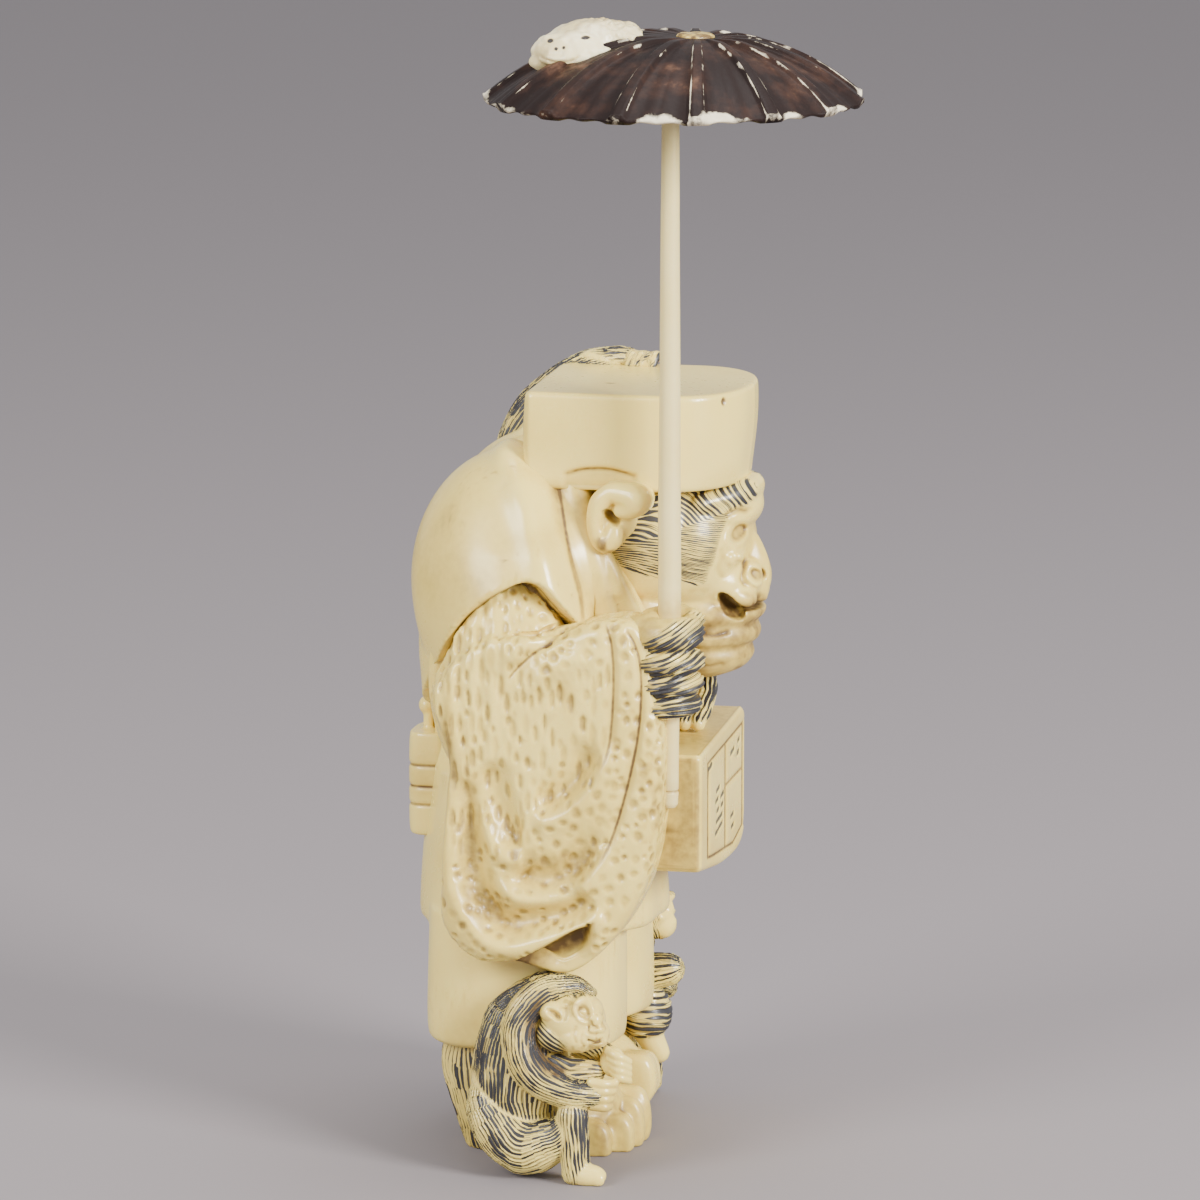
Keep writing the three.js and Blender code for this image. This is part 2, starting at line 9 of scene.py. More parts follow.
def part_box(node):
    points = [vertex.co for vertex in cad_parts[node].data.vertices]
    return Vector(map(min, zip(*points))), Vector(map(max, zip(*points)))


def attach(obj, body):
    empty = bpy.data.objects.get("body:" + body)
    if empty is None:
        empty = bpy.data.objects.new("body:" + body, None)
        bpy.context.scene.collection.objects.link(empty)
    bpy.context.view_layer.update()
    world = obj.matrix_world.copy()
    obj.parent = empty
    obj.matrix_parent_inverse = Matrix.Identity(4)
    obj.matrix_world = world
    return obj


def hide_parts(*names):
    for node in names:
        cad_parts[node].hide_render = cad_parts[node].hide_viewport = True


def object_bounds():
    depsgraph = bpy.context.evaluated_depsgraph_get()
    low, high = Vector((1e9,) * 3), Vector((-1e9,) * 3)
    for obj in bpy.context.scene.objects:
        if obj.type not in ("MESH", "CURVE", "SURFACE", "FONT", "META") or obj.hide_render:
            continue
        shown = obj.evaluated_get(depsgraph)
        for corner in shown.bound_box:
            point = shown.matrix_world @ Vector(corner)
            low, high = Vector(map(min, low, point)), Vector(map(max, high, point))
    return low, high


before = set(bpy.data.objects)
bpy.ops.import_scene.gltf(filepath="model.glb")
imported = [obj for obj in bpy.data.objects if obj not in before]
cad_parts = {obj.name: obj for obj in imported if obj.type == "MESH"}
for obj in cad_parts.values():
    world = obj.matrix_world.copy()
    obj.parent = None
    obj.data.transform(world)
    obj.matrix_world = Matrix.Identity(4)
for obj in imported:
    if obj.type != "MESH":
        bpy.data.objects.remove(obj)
cad_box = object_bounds()
scene = bpy.context.scene

# ---------------------------------------------------------------- vest, jacket and trousers
# The robed body is the largest part of the one-piece ivory carving: a sleeveless vest over a jacket
# and two wide trouser legs. It is filed round and polished, and brown patina lies in its hollows.

# The carver's frame: millimetres, +X the way the figure faces, with the pole's axis at this place.
MM = 0.001
POLE_X, POLE_Y = 20.7, -21.0
pole_low, pole_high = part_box("parasol_pole")
TO_ROW = Matrix.Scale(MM, 4) @ Matrix.Translation(
    (
        (pole_low[0] + pole_high[0]) / 2 / MM - POLE_X,
        (pole_low[1] + pole_high[1]) / 2 / MM - POLE_Y,
        0,
    )
)

HEM_Z = 33.5
TROUSER_Z = 16.5
BODY_HALF_WIDTH = 21.0


def smooth_line(stations, steps=8):
    """Points on a smooth line through the stations, each a row of any numbers."""
    p = np.array(stations, float)
    p = np.vstack([2 * p[0] - p[1], p, 2 * p[-1] - p[-2]])
    line = []
    for a, b, c, d in zip(p, p[1:], p[2:], p[3:]):
        for t in np.arange(steps) / steps:
            line.append(
                b + 0.5 * t * (c - a + t * (2 * a - 5 * b + 4 * c - d + t * (3 * b - 3 * c + d - a)))
            )
    line.append(p[-2])
    return np.array(line)


def add_ball(bm, centre, half, turn=(0, 0, 0), finish=4):
    """An ellipsoid with its centre, half sizes and turn in degrees."""
    turned = Euler([math.radians(a) for a in turn])
    shape = Matrix.LocRotScale(Vector(centre), turned, Vector(half))
    bmesh.ops.create_icosphere(bm, subdivisions=finish, radius=1, matrix=shape)


def add_limb(bm, stations, steps=8):
    """A round limb through stations (x, y, z, radius), as beads that run together when fused."""
    line = smooth_line(stations, steps)
    for x, y, z, radius in line:
        place = Matrix.Translation((x, y, z))
        bmesh.ops.create_icosphere(bm, subdivisions=2, radius=radius, matrix=place)
    return line


def add_stack(bm, sections, square=2.3, sides=72, levels=50):
    """A closed body through level rounded-square sections (z, x, y, half depth, half width)."""
    line = smooth_line(sections, 12)
    steps = np.arange(len(line))
    for vert in bmesh.ops.create_uvsphere(bm, u_segments=sides, v_segments=levels, radius=1)["verts"]:
        up = 1 - math.acos(max(-1.0, min(1.0, vert.co.z))) / math.pi
        share = min(max((up * levels - 1) / (levels - 2), 0), 1) * (len(line) - 1)
        z, x, y, rx, ry = (np.interp(share, steps, line[:, i]) for i in range(5))
        reach = math.hypot(vert.co.x, vert.co.y)
        if reach < 1e-6:
            vert.co = (x, y, z)
            continue
        c, s = vert.co.x / reach, vert.co.y / reach
        vert.co = (
            x + rx * math.copysign(abs(c) ** (2 / square), c),
            y + ry * math.copysign(abs(s) ** (2 / square), s),
            z,
        )


def as_mesh(bm, name):
    mesh = bpy.data.meshes.new(name)
    bm.to_mesh(mesh)
    bm.free()
    return mesh


def as_object(mesh, name):
    made = bpy.data.objects.new(name, mesh)
    scene.collection.objects.link(made)
    return made


def fuse_skin(block, grain):
    """Fuses a block's overlapping forms into one skin of even facets."""
    fuse = block.modifiers.new("fuse", "REMESH")
    fuse.mode = "VOXEL"
    fuse.voxel_size = grain


def carve(name, forms, grain, softening, cuts=None):
    """Fuses overlapping forms into one, takes the cuts out of it and eases its edges."""
    block = as_object(as_mesh(forms, name), name)
    fuse_skin(block, grain)
    if cuts:
        tool = as_object(as_mesh(cuts, name + "_cut"), name + "_cut")
        fuse_skin(tool, grain)
        cut = block.modifiers.new("cut", "BOOLEAN")
        cut.operation = "DIFFERENCE"
        cut.object = tool
        fuse_skin(block, grain)
    soften = block.modifiers.new("soften", "SMOOTH")
    soften.factor = 0.5
    soften.iterations = softening
    graph = bpy.context.evaluated_depsgraph_get()
    mesh = bpy.data.meshes.new_from_object(block.evaluated_get(graph))
    mesh.name = name
    bpy.data.objects.remove(block)
    if cuts:
        bpy.data.objects.remove(tool)
    return mesh


def points_of(mesh):
    """Every point of a mesh and the way its surface faces there."""
    points = np.empty(len(mesh.vertices) * 3)
    mesh.vertices.foreach_get("co", points)
    facing = np.empty_like(points)
    mesh.vertex_normals.foreach_get("vector", facing)
    return points.reshape(-1, 3), facing.reshape(-1, 3)


def move_points(mesh, points):
    """Sets every point of a mesh, and gives the points and the way they now face."""
    mesh.vertices.foreach_set("co", points.ravel())
    mesh.update()
    return points_of(mesh)


def raise_by(points, facing, height):
    points += facing * height[:, None]


def cut_by(points, facing, depth):
    points -= facing * depth[:, None]


def ease(low, high, value):
    """0 below low and 1 above high, with an eased change between."""
    t = np.clip((value - low) / (high - low), 0, 1)
    return t * t * (3 - 2 * t)


def bell(value, width):
    """1 at nothing, falling off smoothly on both sides over about the width."""
    return np.exp(-((value / width) ** 2))


def blot(flat, centre, spread):
    """A soft round patch: 1 at its centre, falling off by the spread of each direction."""
    return np.exp(-(((flat - centre) ** 2 / spread).sum(axis=1)))


def mottle(points, size, seed):
    """A smooth random value from 0 to 1 that changes over about the given size."""
    lattice = np.random.default_rng(seed).random((24, 24, 24))
    place = points / size
    cell = np.floor(place).astype(int)
    part = place - cell
    part = part * part * (3 - 2 * part)
    value = np.zeros(len(points))
    for corner in np.ndindex(2, 2, 2):
        at = (cell + corner) % 24
        share = np.where(np.array(corner) == 1, part, 1 - part).prod(axis=1)
        value += lattice[at[:, 0], at[:, 1], at[:, 2]] * share
    return value


def hollows(mesh, points, facing, rounds):
    """How far each point lies below its smoothed surroundings, in millimetres."""
    ends = np.empty(len(mesh.edges) * 2, dtype=np.int32)
    mesh.edges.foreach_get("vertices", ends)
    a, b = ends[0::2], ends[1::2]
    total = len(points)
    near = np.maximum(np.bincount(a, minlength=total) + np.bincount(b, minlength=total), 1)
    smooth = points.copy()
    for _ in range(rounds):
        for axis in range(3):
            column = smooth[:, axis]
            sums = np.bincount(a, column[b], total) + np.bincount(b, column[a], total)
            smooth[:, axis] = 0.4 * column + 0.6 * sums / near
    return ((smooth - points) * facing).sum(axis=1)


def from_line(points, line):
    """Signed distance of flat points to an open line, above zero on its left, and the share along."""
    nearest = np.full(len(points), 1e9)
    signed = np.zeros(len(points))
    share = np.zeros(len(points))
    for i, (a, b) in enumerate(zip(line, line[1:])):
        along = b - a
        t = np.clip(((points - a) @ along) / (along @ along), 0, 1)
        off = points - (a + t[:, None] * along)
        far = np.hypot(off[:, 0], off[:, 1])
        closer = far < nearest
        nearest[closer] = far[closer]
        turn = along[0] * off[:, 1] - along[1] * off[:, 0]
        signed[closer] = (far * np.sign(turn))[closer]
        share[closer] = ((i + t) / (len(line) - 1))[closer]
    return signed, share


def seams_of(flat, lines, shown):
    """Signed distance to the nearest cut seam and how strongly it is cut: lines (line, strength, end)."""
    seam = np.full(len(flat), 9.0)
    groove = np.zeros(len(flat))
    for line, strength, end in lines:
        off, share = from_line(flat, np.array(line))
        closer = np.abs(off) < np.abs(seam)
        seam = np.where(closer, off, seam)
        groove = np.where(closer, strength * ease(0, 0.05, share) * ease(end, end - 0.1, share), groove)
    return seam, groove * ease(1.4, 0.7, np.abs(seam)) * shown


DENT_EDGE = 0.35


def dent(points, facing, centre, half, depth):
    """Presses an ellipsoid hollow into the surface and returns how deep each point went, 0 to 1."""
    far = np.linalg.norm((points - np.array(centre)) / np.array(half), axis=1)
    share = 1 - ease(1 - DENT_EDGE, 1 + DENT_EDGE, far)
    cut_by(points, facing, depth * share)
    return share


def paint(mesh, patina, **values):
    """Stores the finish of every point for the material to read, with the patina kept in 0 to 1."""
    for name, value in {"patina": np.clip(patina, 0, 1), **values}.items():
        layer = mesh.attributes.new(name, "FLOAT", "POINT")
        layer.data.foreach_set("value", np.asarray(value, dtype=np.float32))


def patina_of(mesh, points, facing, seed, strength=1.0):
    """Brown that gathers in creases, and broad yellow patches where hands don't polish."""
    fine = hollows(mesh, points, facing, 12)
    broad = hollows(mesh, points, facing, 60)
    patches = ease(0.45, 0.9, mottle(points, 9, seed)) * 0.26
    creases = ease(0.02, 0.5, fine) * 0.9 + ease(0.1, 1.6, broad) * 0.55
    return np.clip(strength * creases + patches, 0, 1)


def add_node(tree, kind, inputs=(), **settings):
    made = tree.nodes.new(kind)
    for key, value in settings.items():
        setattr(made, key, value)
    for key, value in dict(inputs).items():
        if isinstance(value, bpy.types.NodeSocket):
            tree.links.new(value, made.inputs[key])
        else:
            made.inputs[key].default_value = value
    return made


def worked(operation, *values):
    """The outcome of one sum on numbers and node outputs."""
    tree = next(value for value in values if isinstance(value, bpy.types.NodeSocket)).id_data
    return add_node(tree, "ShaderNodeMath", enumerate(values), operation=operation).outputs[0]


def plus(a, b):
    return worked("ADD", a, b)


def less(a, b):
    return worked("SUBTRACT", a, b)


def times(a, b):
    return worked("MULTIPLY", a, b)


def noise(place, scale, detail, roughness=0.5):
    """A soft uneven value over a piece, finer with a higher scale."""
    settings = {"Vector": place, "Scale": scale, "Detail": detail, "Roughness": roughness}
    return add_node(place.id_data, "ShaderNodeTexNoise", settings).outputs[0]


def noise_along(run, scale, detail, roughness=0.5):
    """A soft uneven value along a hair line."""
    settings = {"W": run, "Scale": scale, "Detail": detail, "Roughness": roughness}
    return add_node(run.id_data, "ShaderNodeTexNoise", settings, noise_dimensions="1D").outputs[0]


def between(value, low, high, top=1.0, change="LINEAR"):
    """0 where the value is low, the top where it is high, and a change between."""
    settings = {"Value": value, "From Min": low, "From Max": high, "To Max": top}
    return add_node(value.id_data, "ShaderNodeMapRange", settings, interpolation_type=change).outputs[0]


def mix_colour(tree, share, a, b, how="MIX"):
    mixed = add_node(tree, "ShaderNodeMix", {0: share, 6: a, 7: b}, data_type="RGBA", blend_type=how)
    return mixed.outputs[2]


def ramp(tree, value, stops):
    """A colour ramp with stops (position, colour)."""
    made = add_node(tree, "ShaderNodeValToRGB", {0: value})
    band = made.color_ramp
    while len(band.elements) < len(stops):
        band.elements.new(0.5)
    for element, (position, colour) in zip(band.elements, stops):
        element.position = position
        element.color = colour
    return made.outputs[0]


def attribute(tree, name):
    return add_node(tree, "ShaderNodeAttribute", attribute_name=name).outputs["Fac"]


def new_material(name):
    material = bpy.data.materials.new(name)
    material.use_nodes = True
    return material, material.node_tree, material.node_tree.nodes["Principled BSDF"]


RELIEF_DEPTH = 0.00012


def add_relief(tree, shader, height, strength):
    """Fine relief too small for the mesh."""
    settings = {"Height": height, "Distance": RELIEF_DEPTH, "Strength": strength}
    tree.links.new(add_node(tree, "ShaderNodeBump", settings).outputs[0], shader.inputs["Normal"])


CREAM = (0.92, 0.735, 0.22, 1)
WARM_CREAM = (0.82, 0.61, 0.12, 1)
INK = (0.019, 0.018, 0.021, 1)


def ivory(name, cream=CREAM, gloss=0.24):
    """Polished ivory: lengthwise grain, patina in the hollows, and ink in the cut hair lines."""
    material, tree, shader = new_material(name)
    place = add_node(tree, "ShaderNodeTexCoord").outputs["Object"]
    stretched = add_node(tree, "ShaderNodeMapping", {0: place, 3: (1, 1, 0.06)}).outputs[0]
    grain = noise(stretched, 1500, 2)
    cloud = noise(place, 110, 4, 0.55)
    speck = noise(place, 900, 2)

    # A cut seam is a fine line at its own distance of nothing, brown with old dirt.
    seam = between(worked("ABSOLUTE", attribute(tree, "seam")), 0.34, 0.04, change="SMOOTHSTEP")
    seam = times(seam, attribute(tree, "groove"))

    # Body colour, from cream on the polished heights to brown in the hollows.
    worn = plus(worked("MULTIPLY_ADD", cloud, 0.55, -0.12), times(grain, 0.12))
    body = mix_colour(tree, worn, cream, WARM_CREAM)
    patina = worked("MINIMUM", plus(attribute(tree, "patina"), seam), 1.0)
    uneven = times(patina, worked("MULTIPLY_ADD", speck, 0.9, 0.6))
    tint = ramp(
        tree,
        uneven,
        [
            (0.0, (1, 1, 1, 1)),
            (0.3, (0.79, 0.74, 0.60, 1)),
            (0.65, (0.43, 0.36, 0.25, 1)),
            (1.0, (0.14, 0.095, 0.055, 1)),
        ],
    )
    coloured = mix_colour(tree, 1.0, body, tint, "MULTIPLY")

    # Ink in the hair lines: tapering strokes, each broken in its own places.
    strand = plus(attribute(tree, "strand"), times(noise(place, 220, 1.0), 0.5))
    ink = attribute(tree, "ink")
    across = worked("ABSOLUTE", less(worked("FRACT", strand), 0.5))
    line_number = {"W": worked("FLOOR", strand)}
    own = add_node(tree, "ShaderNodeTexWhiteNoise", line_number, noise_dimensions="1D").outputs[0]
    run = plus(attribute(tree, "along"), times(own, 60.0))
    width = times(between(noise_along(run, 0.2, 1.5, 0.55), 0.33, 0.62, 0.38), ink)
    stroke = between(across, plus(width, 0.06), less(width, 0.06), change="SMOOTHSTEP")
    # Finer scratches lie between the strokes, two to each line.
    doubled = times(strand, 2.0)
    fine_across = worked("ABSOLUTE", less(worked("FRACT", doubled), 0.5))
    fine_run = plus(run, times(worked("FLOOR", doubled), 7.3))
    fine_width = between(noise_along(fine_run, 0.3, 1.0), 0.42, 0.72, 0.2)
    fine = between(fine_across, plus(fine_width, 0.03), fine_width, 0.8, "SMOOTHSTEP")
    shown = worked("MINIMUM", times(ink, 5.0), 1.0)
    stroke = times(worked("MAXIMUM", stroke, fine), shown)
    smudge = times(times(ink, cloud), 0.16)
    engraved = between(attribute(tree, "engraving"), 0.3, 0.65, 0.9)
    dark = worked("MAXIMUM", worked("MAXIMUM", stroke, smudge), engraved)
    tree.links.new(mix_colour(tree, dark, coloured, INK), shader.inputs["Base Color"])

    rough = plus(worked("MULTIPLY_ADD", speck, 0.10, gloss - 0.05), times(patina, 0.4))
    tree.links.new(plus(rough, times(dark, 0.25)), shader.inputs["Roughness"])
    shader.inputs["IOR"].default_value = 1.54
    shader.inputs["Subsurface Weight"].default_value = 0.22
    shader.inputs["Subsurface Radius"].default_value = (1.0, 0.7, 0.4)
    shader.inputs["Subsurface Scale"].default_value = 0.0012
    shader.inputs["Coat Weight"].default_value = 0.18
    shader.inputs["Coat Roughness"].default_value = 0.14

    height = less(times(grain, 0.012), times(stroke, 0.9))
    height = less(less(height, times(engraved, 0.8)), times(seam, 1.6))
    add_relief(tree, shader, height, 0.6)
    return material


def thin_out(mesh, most):
    """Merges the flattest facets until the mesh has no more than the given number of triangles."""
    triangles = len(mesh.loops) - 2 * len(mesh.polygons)
    if triangles <= most:
        return mesh
    name = mesh.name
    thick = as_object(mesh, name)
    fewer = thick.modifiers.new("fewer", "DECIMATE")
    fewer.ratio = most / triangles
    graph = bpy.context.evaluated_depsgraph_get()
    thin = bpy.data.meshes.new_from_object(
        thick.evaluated_get(graph), preserve_all_data_layers=True, depsgraph=graph
    )
    bpy.data.objects.remove(thick)
    bpy.data.meshes.remove(mesh)
    thin.name = name
    return thin


def finish(name, mesh, material, most, node="figure", slot="ivory"):
    """Takes a carved mesh to the row's frame, as a smooth-shaded piece that stands for a node."""
    mesh = thin_out(mesh, most)
    mesh.transform(TO_ROW)
    mesh.polygons.foreach_set("use_smooth", np.ones(len(mesh.polygons), dtype=bool))
    mesh.materials.clear()
    mesh.materials.append(material)
    piece = as_object(mesh, name)
    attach(piece, "root")
    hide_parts(node)


IVORY = ivory("polished_ivory")

w = BODY_HALF_WIDTH
forms = bmesh.new()
add_stack(
    forms,
    [
        (HEM_Z, -2.2, 0, 17.6, w - 0.8),
        (HEM_Z + 2, -2.2, 0, 18, w - 0.4),
        (46, -2.4, 0, 17.2, w - 1),
        (60, -2.8, 0, 15.2, w - 1.8),
        (67, -3.4, 0, 15.4, w - 0.6),
        (75, -4.2, 0, 16, w + 0.6),
        (82, -4.3, 0, 15.4, w + 0.8),
        (88, -3.6, 0, 14.2, w - 0.4),
        (93, -2.2, 0, 12.4, w - 2.4),
        (97, -0.6, 0, 10.8, w - 5),
        (101, 2, 0, 8.6, w - 8.5),
        (104.5, 4, 0, 6.2, w - 12.5),
    ],
)
add_ball(forms, (-4.5, 0, 85), (15.3, 15.6, 18.6), finish=5)
for side in (-1, 1):
    add_ball(forms, (-4.5, side * 4.6, 85), (15.3, 15.6, 19), finish=5)
    add_ball(forms, (-4.7, side * 8.7, 85), (15.3, 15.6, 19.4), finish=5)
    add_stack(
        forms,
        [
            (TROUSER_Z, -2.9, side * 9.9, 13.4, 9.6),
            (TROUSER_Z + 2.5, -3, side * 10, 14.6, 10.6),
            (HEM_Z + 3, -3, side * 9.2, 14.4, 10.8),
        ],
        square=2.6,
        levels=24,
    )
    for strip in (
        [
            (1, 8, 103, 2.4), (3.4, 11.2, 101, 2.8), (5.3, 13.2, 97.4, 2.7), (7, 14.8, 92.4, 2.3),
            (8.7, 15.2, 87.6, 2), (10.4, 14.6, 81, 1.8),
        ],
        [(8.6, 14.6, 92, 1.3), (11.2, 14.6, 86.6, 1.7), (13.6, 13.4, 81, 1.8)],
    ):
        add_limb(forms, [(x, side * y, z, r) for x, y, z, r in strip])

robe = carve("robe", forms, grain=0.38, softening=10)
points, facing = points_of(robe)
flat = points[:, [0, 2]]
outer = ease(4, 9, np.abs(points[:, 1]))

# The vest's front edge: a deep cut line from the nape to the chest, beside the collar band.
VEST_FRONT = smooth_line(
    [(-1.5, 105.8), (0.9, 103.4), (3.2, 99), (5, 93.3), (6.4, 88.6), (7.5, 84.4), (8, 80)]
)
ahead = from_line(flat, VEST_FRONT)[0]
cut_line = bell(ahead, 0.8) * outer
ridge = 1.3 * bell(ahead + 4.2, 2.1) * outer
raise_by(points, facing, ridge - 0.6 * cut_line)

# The vest's lower edge rides over the arm, so the cloth below it is cut away.
VEST_LOWER = smooth_line(
    [
        (-16.5, 66), (-14.6, 70.5), (-12.8, 74.2), (-9.6, 80.4), (-5.9, 84.1), (-2.5, 86.2), (-0.2, 87.1),
        (1.7, 86.4), (3.5, 84.1), (5.8, 80.8), (8, 78),
    ]
)
above = from_line(flat, VEST_LOWER)[0]
sideways = ease(0.25, 0.6, np.abs(facing[:, 1])) * ease(56, 60, points[:, 2]) * ease(97, 90, points[:, 2])
over_arm = 2.2 * ease(-0.3, 0.3, above) * np.exp(-np.abs(above) / 6) - 2.6 * ease(0.3, -0.4, above)
raise_by(points, facing, sideways * over_arm)

# Soft folds at the hem and the sash drawn in at the waist.
height = points[:, 2]
around = np.arctan2(points[:, 1], points[:, 0] + 3)
folds = np.sin(around * 9 + 1.2 * np.sin(around * 2)) * 0.16 * ease(62, 36, height) * (height > TROUSER_Z)
sash = -0.5 * bell(height - 66, 1.1) * (points[:, 0] < 6)
raise_by(points, facing, folds + sash)
split = bell(points[:, 1], 0.7) * ease(HEM_Z, HEM_Z - 2, height)
points[:, 0] -= 1.5 * split * np.sign(points[:, 0] + 3)
points, facing = move_points(robe, points)
seam, groove = seams_of(points[:, [0, 2]], [(VEST_FRONT, 0.55, 1.0), (VEST_LOWER, 0.5, 1.0)], outer)
patina = patina_of(robe, points, facing, 3) + 0.16 * cut_line
spots = ease(0.72, 0.9, mottle(points, 0.5, 31)) * ease(0.55, 0.8, mottle(points, 5, 32))
star = dent(points, facing, (-3.2, -23.4, 90), (0.8, 3, 0.8), depth=0.0)
star *= ease(0.35, 0.6, mottle(points, 0.4, 33))
yellow = (
    ease(0.4, 0.8, mottle(points, 7, 34)) * ease(80, 92, height)
    + 0.6 * ease(4, 0, ahead + 9) * ease(60, 90, height)
)
neck = blot(flat, (11, 85), (5, 14)) * ease(0.3, 0.7, mottle(points, 1.5, 36))
patina += 0.4 * neck * outer + 0.8 * star + 0.3 * yellow + 0.35 * spots
paint(robe, patina, seam=seam, groove=groove)
finish("robe", robe, IVORY, most=108000)

# ---------------------------------------------------------------- sleeves
# Each wide sleeve hangs from the raised forearm as a bag with nested folds. The cloth's pattern is
# hundreds of small pits pressed in with a round punch, and brown has settled in most of them.

SLEEVE_EDGE = [
    (3, 79.5), (11.3, 82.2), (17, 81.6), (19.6, 73), (20.7, 63), (19.6, 49), (16.4, 39.8), (11.6, 33.4),
    (6.6, 30), (2, 30.6), (-1.4, 31.4), (-6.4, 31.2), (-10.5, 34), (-12.4, 38.5), (-11.6, 47), (-11, 60),
    (-13.4, 71), (-6, 79),
]
# From the cuff down the right side, round below and up the left side.
INNER_FOLD = [
    (12.2, 82.5), (13.3, 79.1), (13.6, 73.5), (13.2, 66), (12.3, 61.6), (10.3, 57.8), (7.6, 55), (4.6, 53.3),
    (1.2, 53),
]
BACK_FOLD = [(0.4, 47.6), (-1.9, 47.6), (-3.6, 48.8), (-5.1, 51.7), (-6.5, 55.8), (-7.6, 61.4)]
MIDDLE_FOLD = [
    (15.2, 82), (17, 79), (17.8, 75), (17.4, 67.6), (16.4, 61.6), (14.6, 54.4), (12.6, 48.6), (10, 44.4),
    (7, 42.1), (4, 41.2), (0.6, 41.4), (-1.6, 42.6), (-3.4, 45),
]
OUTER_FOLD = [
    (12.4, 40.5), (8.6, 37.4), (2.8, 35.4), (-1.4, 34.2), (-4.8, 35), (-7.4, 37.6), (-9.7, 42.4), (-10.4, 48),
    (-10.6, 55), (-10.7, 61),
]
# The crease where the forearm's cloth folds over the upper arm, and the hem's lowest edge.
ARM_CREASE = [(6.2, 80.9), (3.4, 78.7), (0.8, 76.4), (-1.1, 74.4), (-2.4, 72.4)]
HEM_EDGE = [(-4.5, 31), (-0.4, 32.2), (3.4, 34.4), (7, 36.6), (9.4, 37.7)]
# A shorter sleeve is drawn in towards this level.
SHOULDER_Z = 82


def add_plate(bm, outline, start, depth, direction, edge):
    """A plate with eased edges: a closed outline of points, pushed along a direction."""
    face = bm.faces.new([bm.verts.new(Vector(p) + Vector(direction) * start) for p in outline])
    pushed = bmesh.ops.extrude_face_region(bm, geom=[face])["geom"]
    front = [item for item in pushed if isinstance(item, bmesh.types.BMVert)]
    bmesh.ops.translate(bm, verts=front, vec=Vector(direction) * depth)
    around = set(front) | set(face.verts)
    faces = [f for f in bm.faces if all(v in around for v in f.verts)]
    bmesh.ops.recalc_face_normals(bm, faces=faces)
    rims = [e for f in faces if len(f.verts) > 4 for e in f.edges]
    bmesh.ops.bevel(
        bm, geom=rims, offset=edge, segments=4, affect="EDGES", profile=0.5, material=-1
    )


def smooth_loop(stations, steps=6):
    line = smooth_line([stations[-1], *stations, stations[0], stations[1]], steps)
    return line[steps : steps * (len(stations) + 1)]


def fold(flat, line, groove_until, groove, valley, crest):
    """Height of one fold: a cut groove in its first part, then a valley inside and a raised lip."""
    out, share = from_line(flat, smooth_line(line, 5))
    cut = ease(groove_until + 0.08, groove_until - 0.08, share)
    ends = ease(0, 0.04, share) * ease(1, 0.9, share)
    lip = crest * bell(out - 0.2, 1.7) - valley * bell(out + 3, 2.2)
    line_cut = bell(out, 0.75) * cut * ends
    basin = (1 - cut) * ends * bell(out + 2.2, 1.5)
    return (1 - cut) * ends * lip - groove * line_cut, line_cut, basin


def press_pits(points, allowed, tall, seed):
    """How deep each point lies in a pressed pit, 0 to 1: round ones, and long ones where tall."""
    rng = np.random.default_rng(seed)
    free = allowed.copy()
    uneven = 0.8 + 0.45 * mottle(points, 0.8, seed)
    depth = np.zeros(len(points))
    for start in rng.permutation(len(points)):
        if not free[start]:
            continue
        wide = rng.uniform(0.4, 0.68) if tall[start] else rng.uniform(0.5, 0.95)
        high = wide * (rng.uniform(1.4, 4.2) if tall[start] else rng.uniform(0.8, 1.25))
        far = np.linalg.norm((points - points[start]) / (wide, wide, high), axis=1) * uneven
        free &= far > rng.uniform(1.5, 3)
        depth = np.maximum(depth, (1 - ease(0.45, 1.15, far)) * rng.uniform(0.3, 1))
    return depth


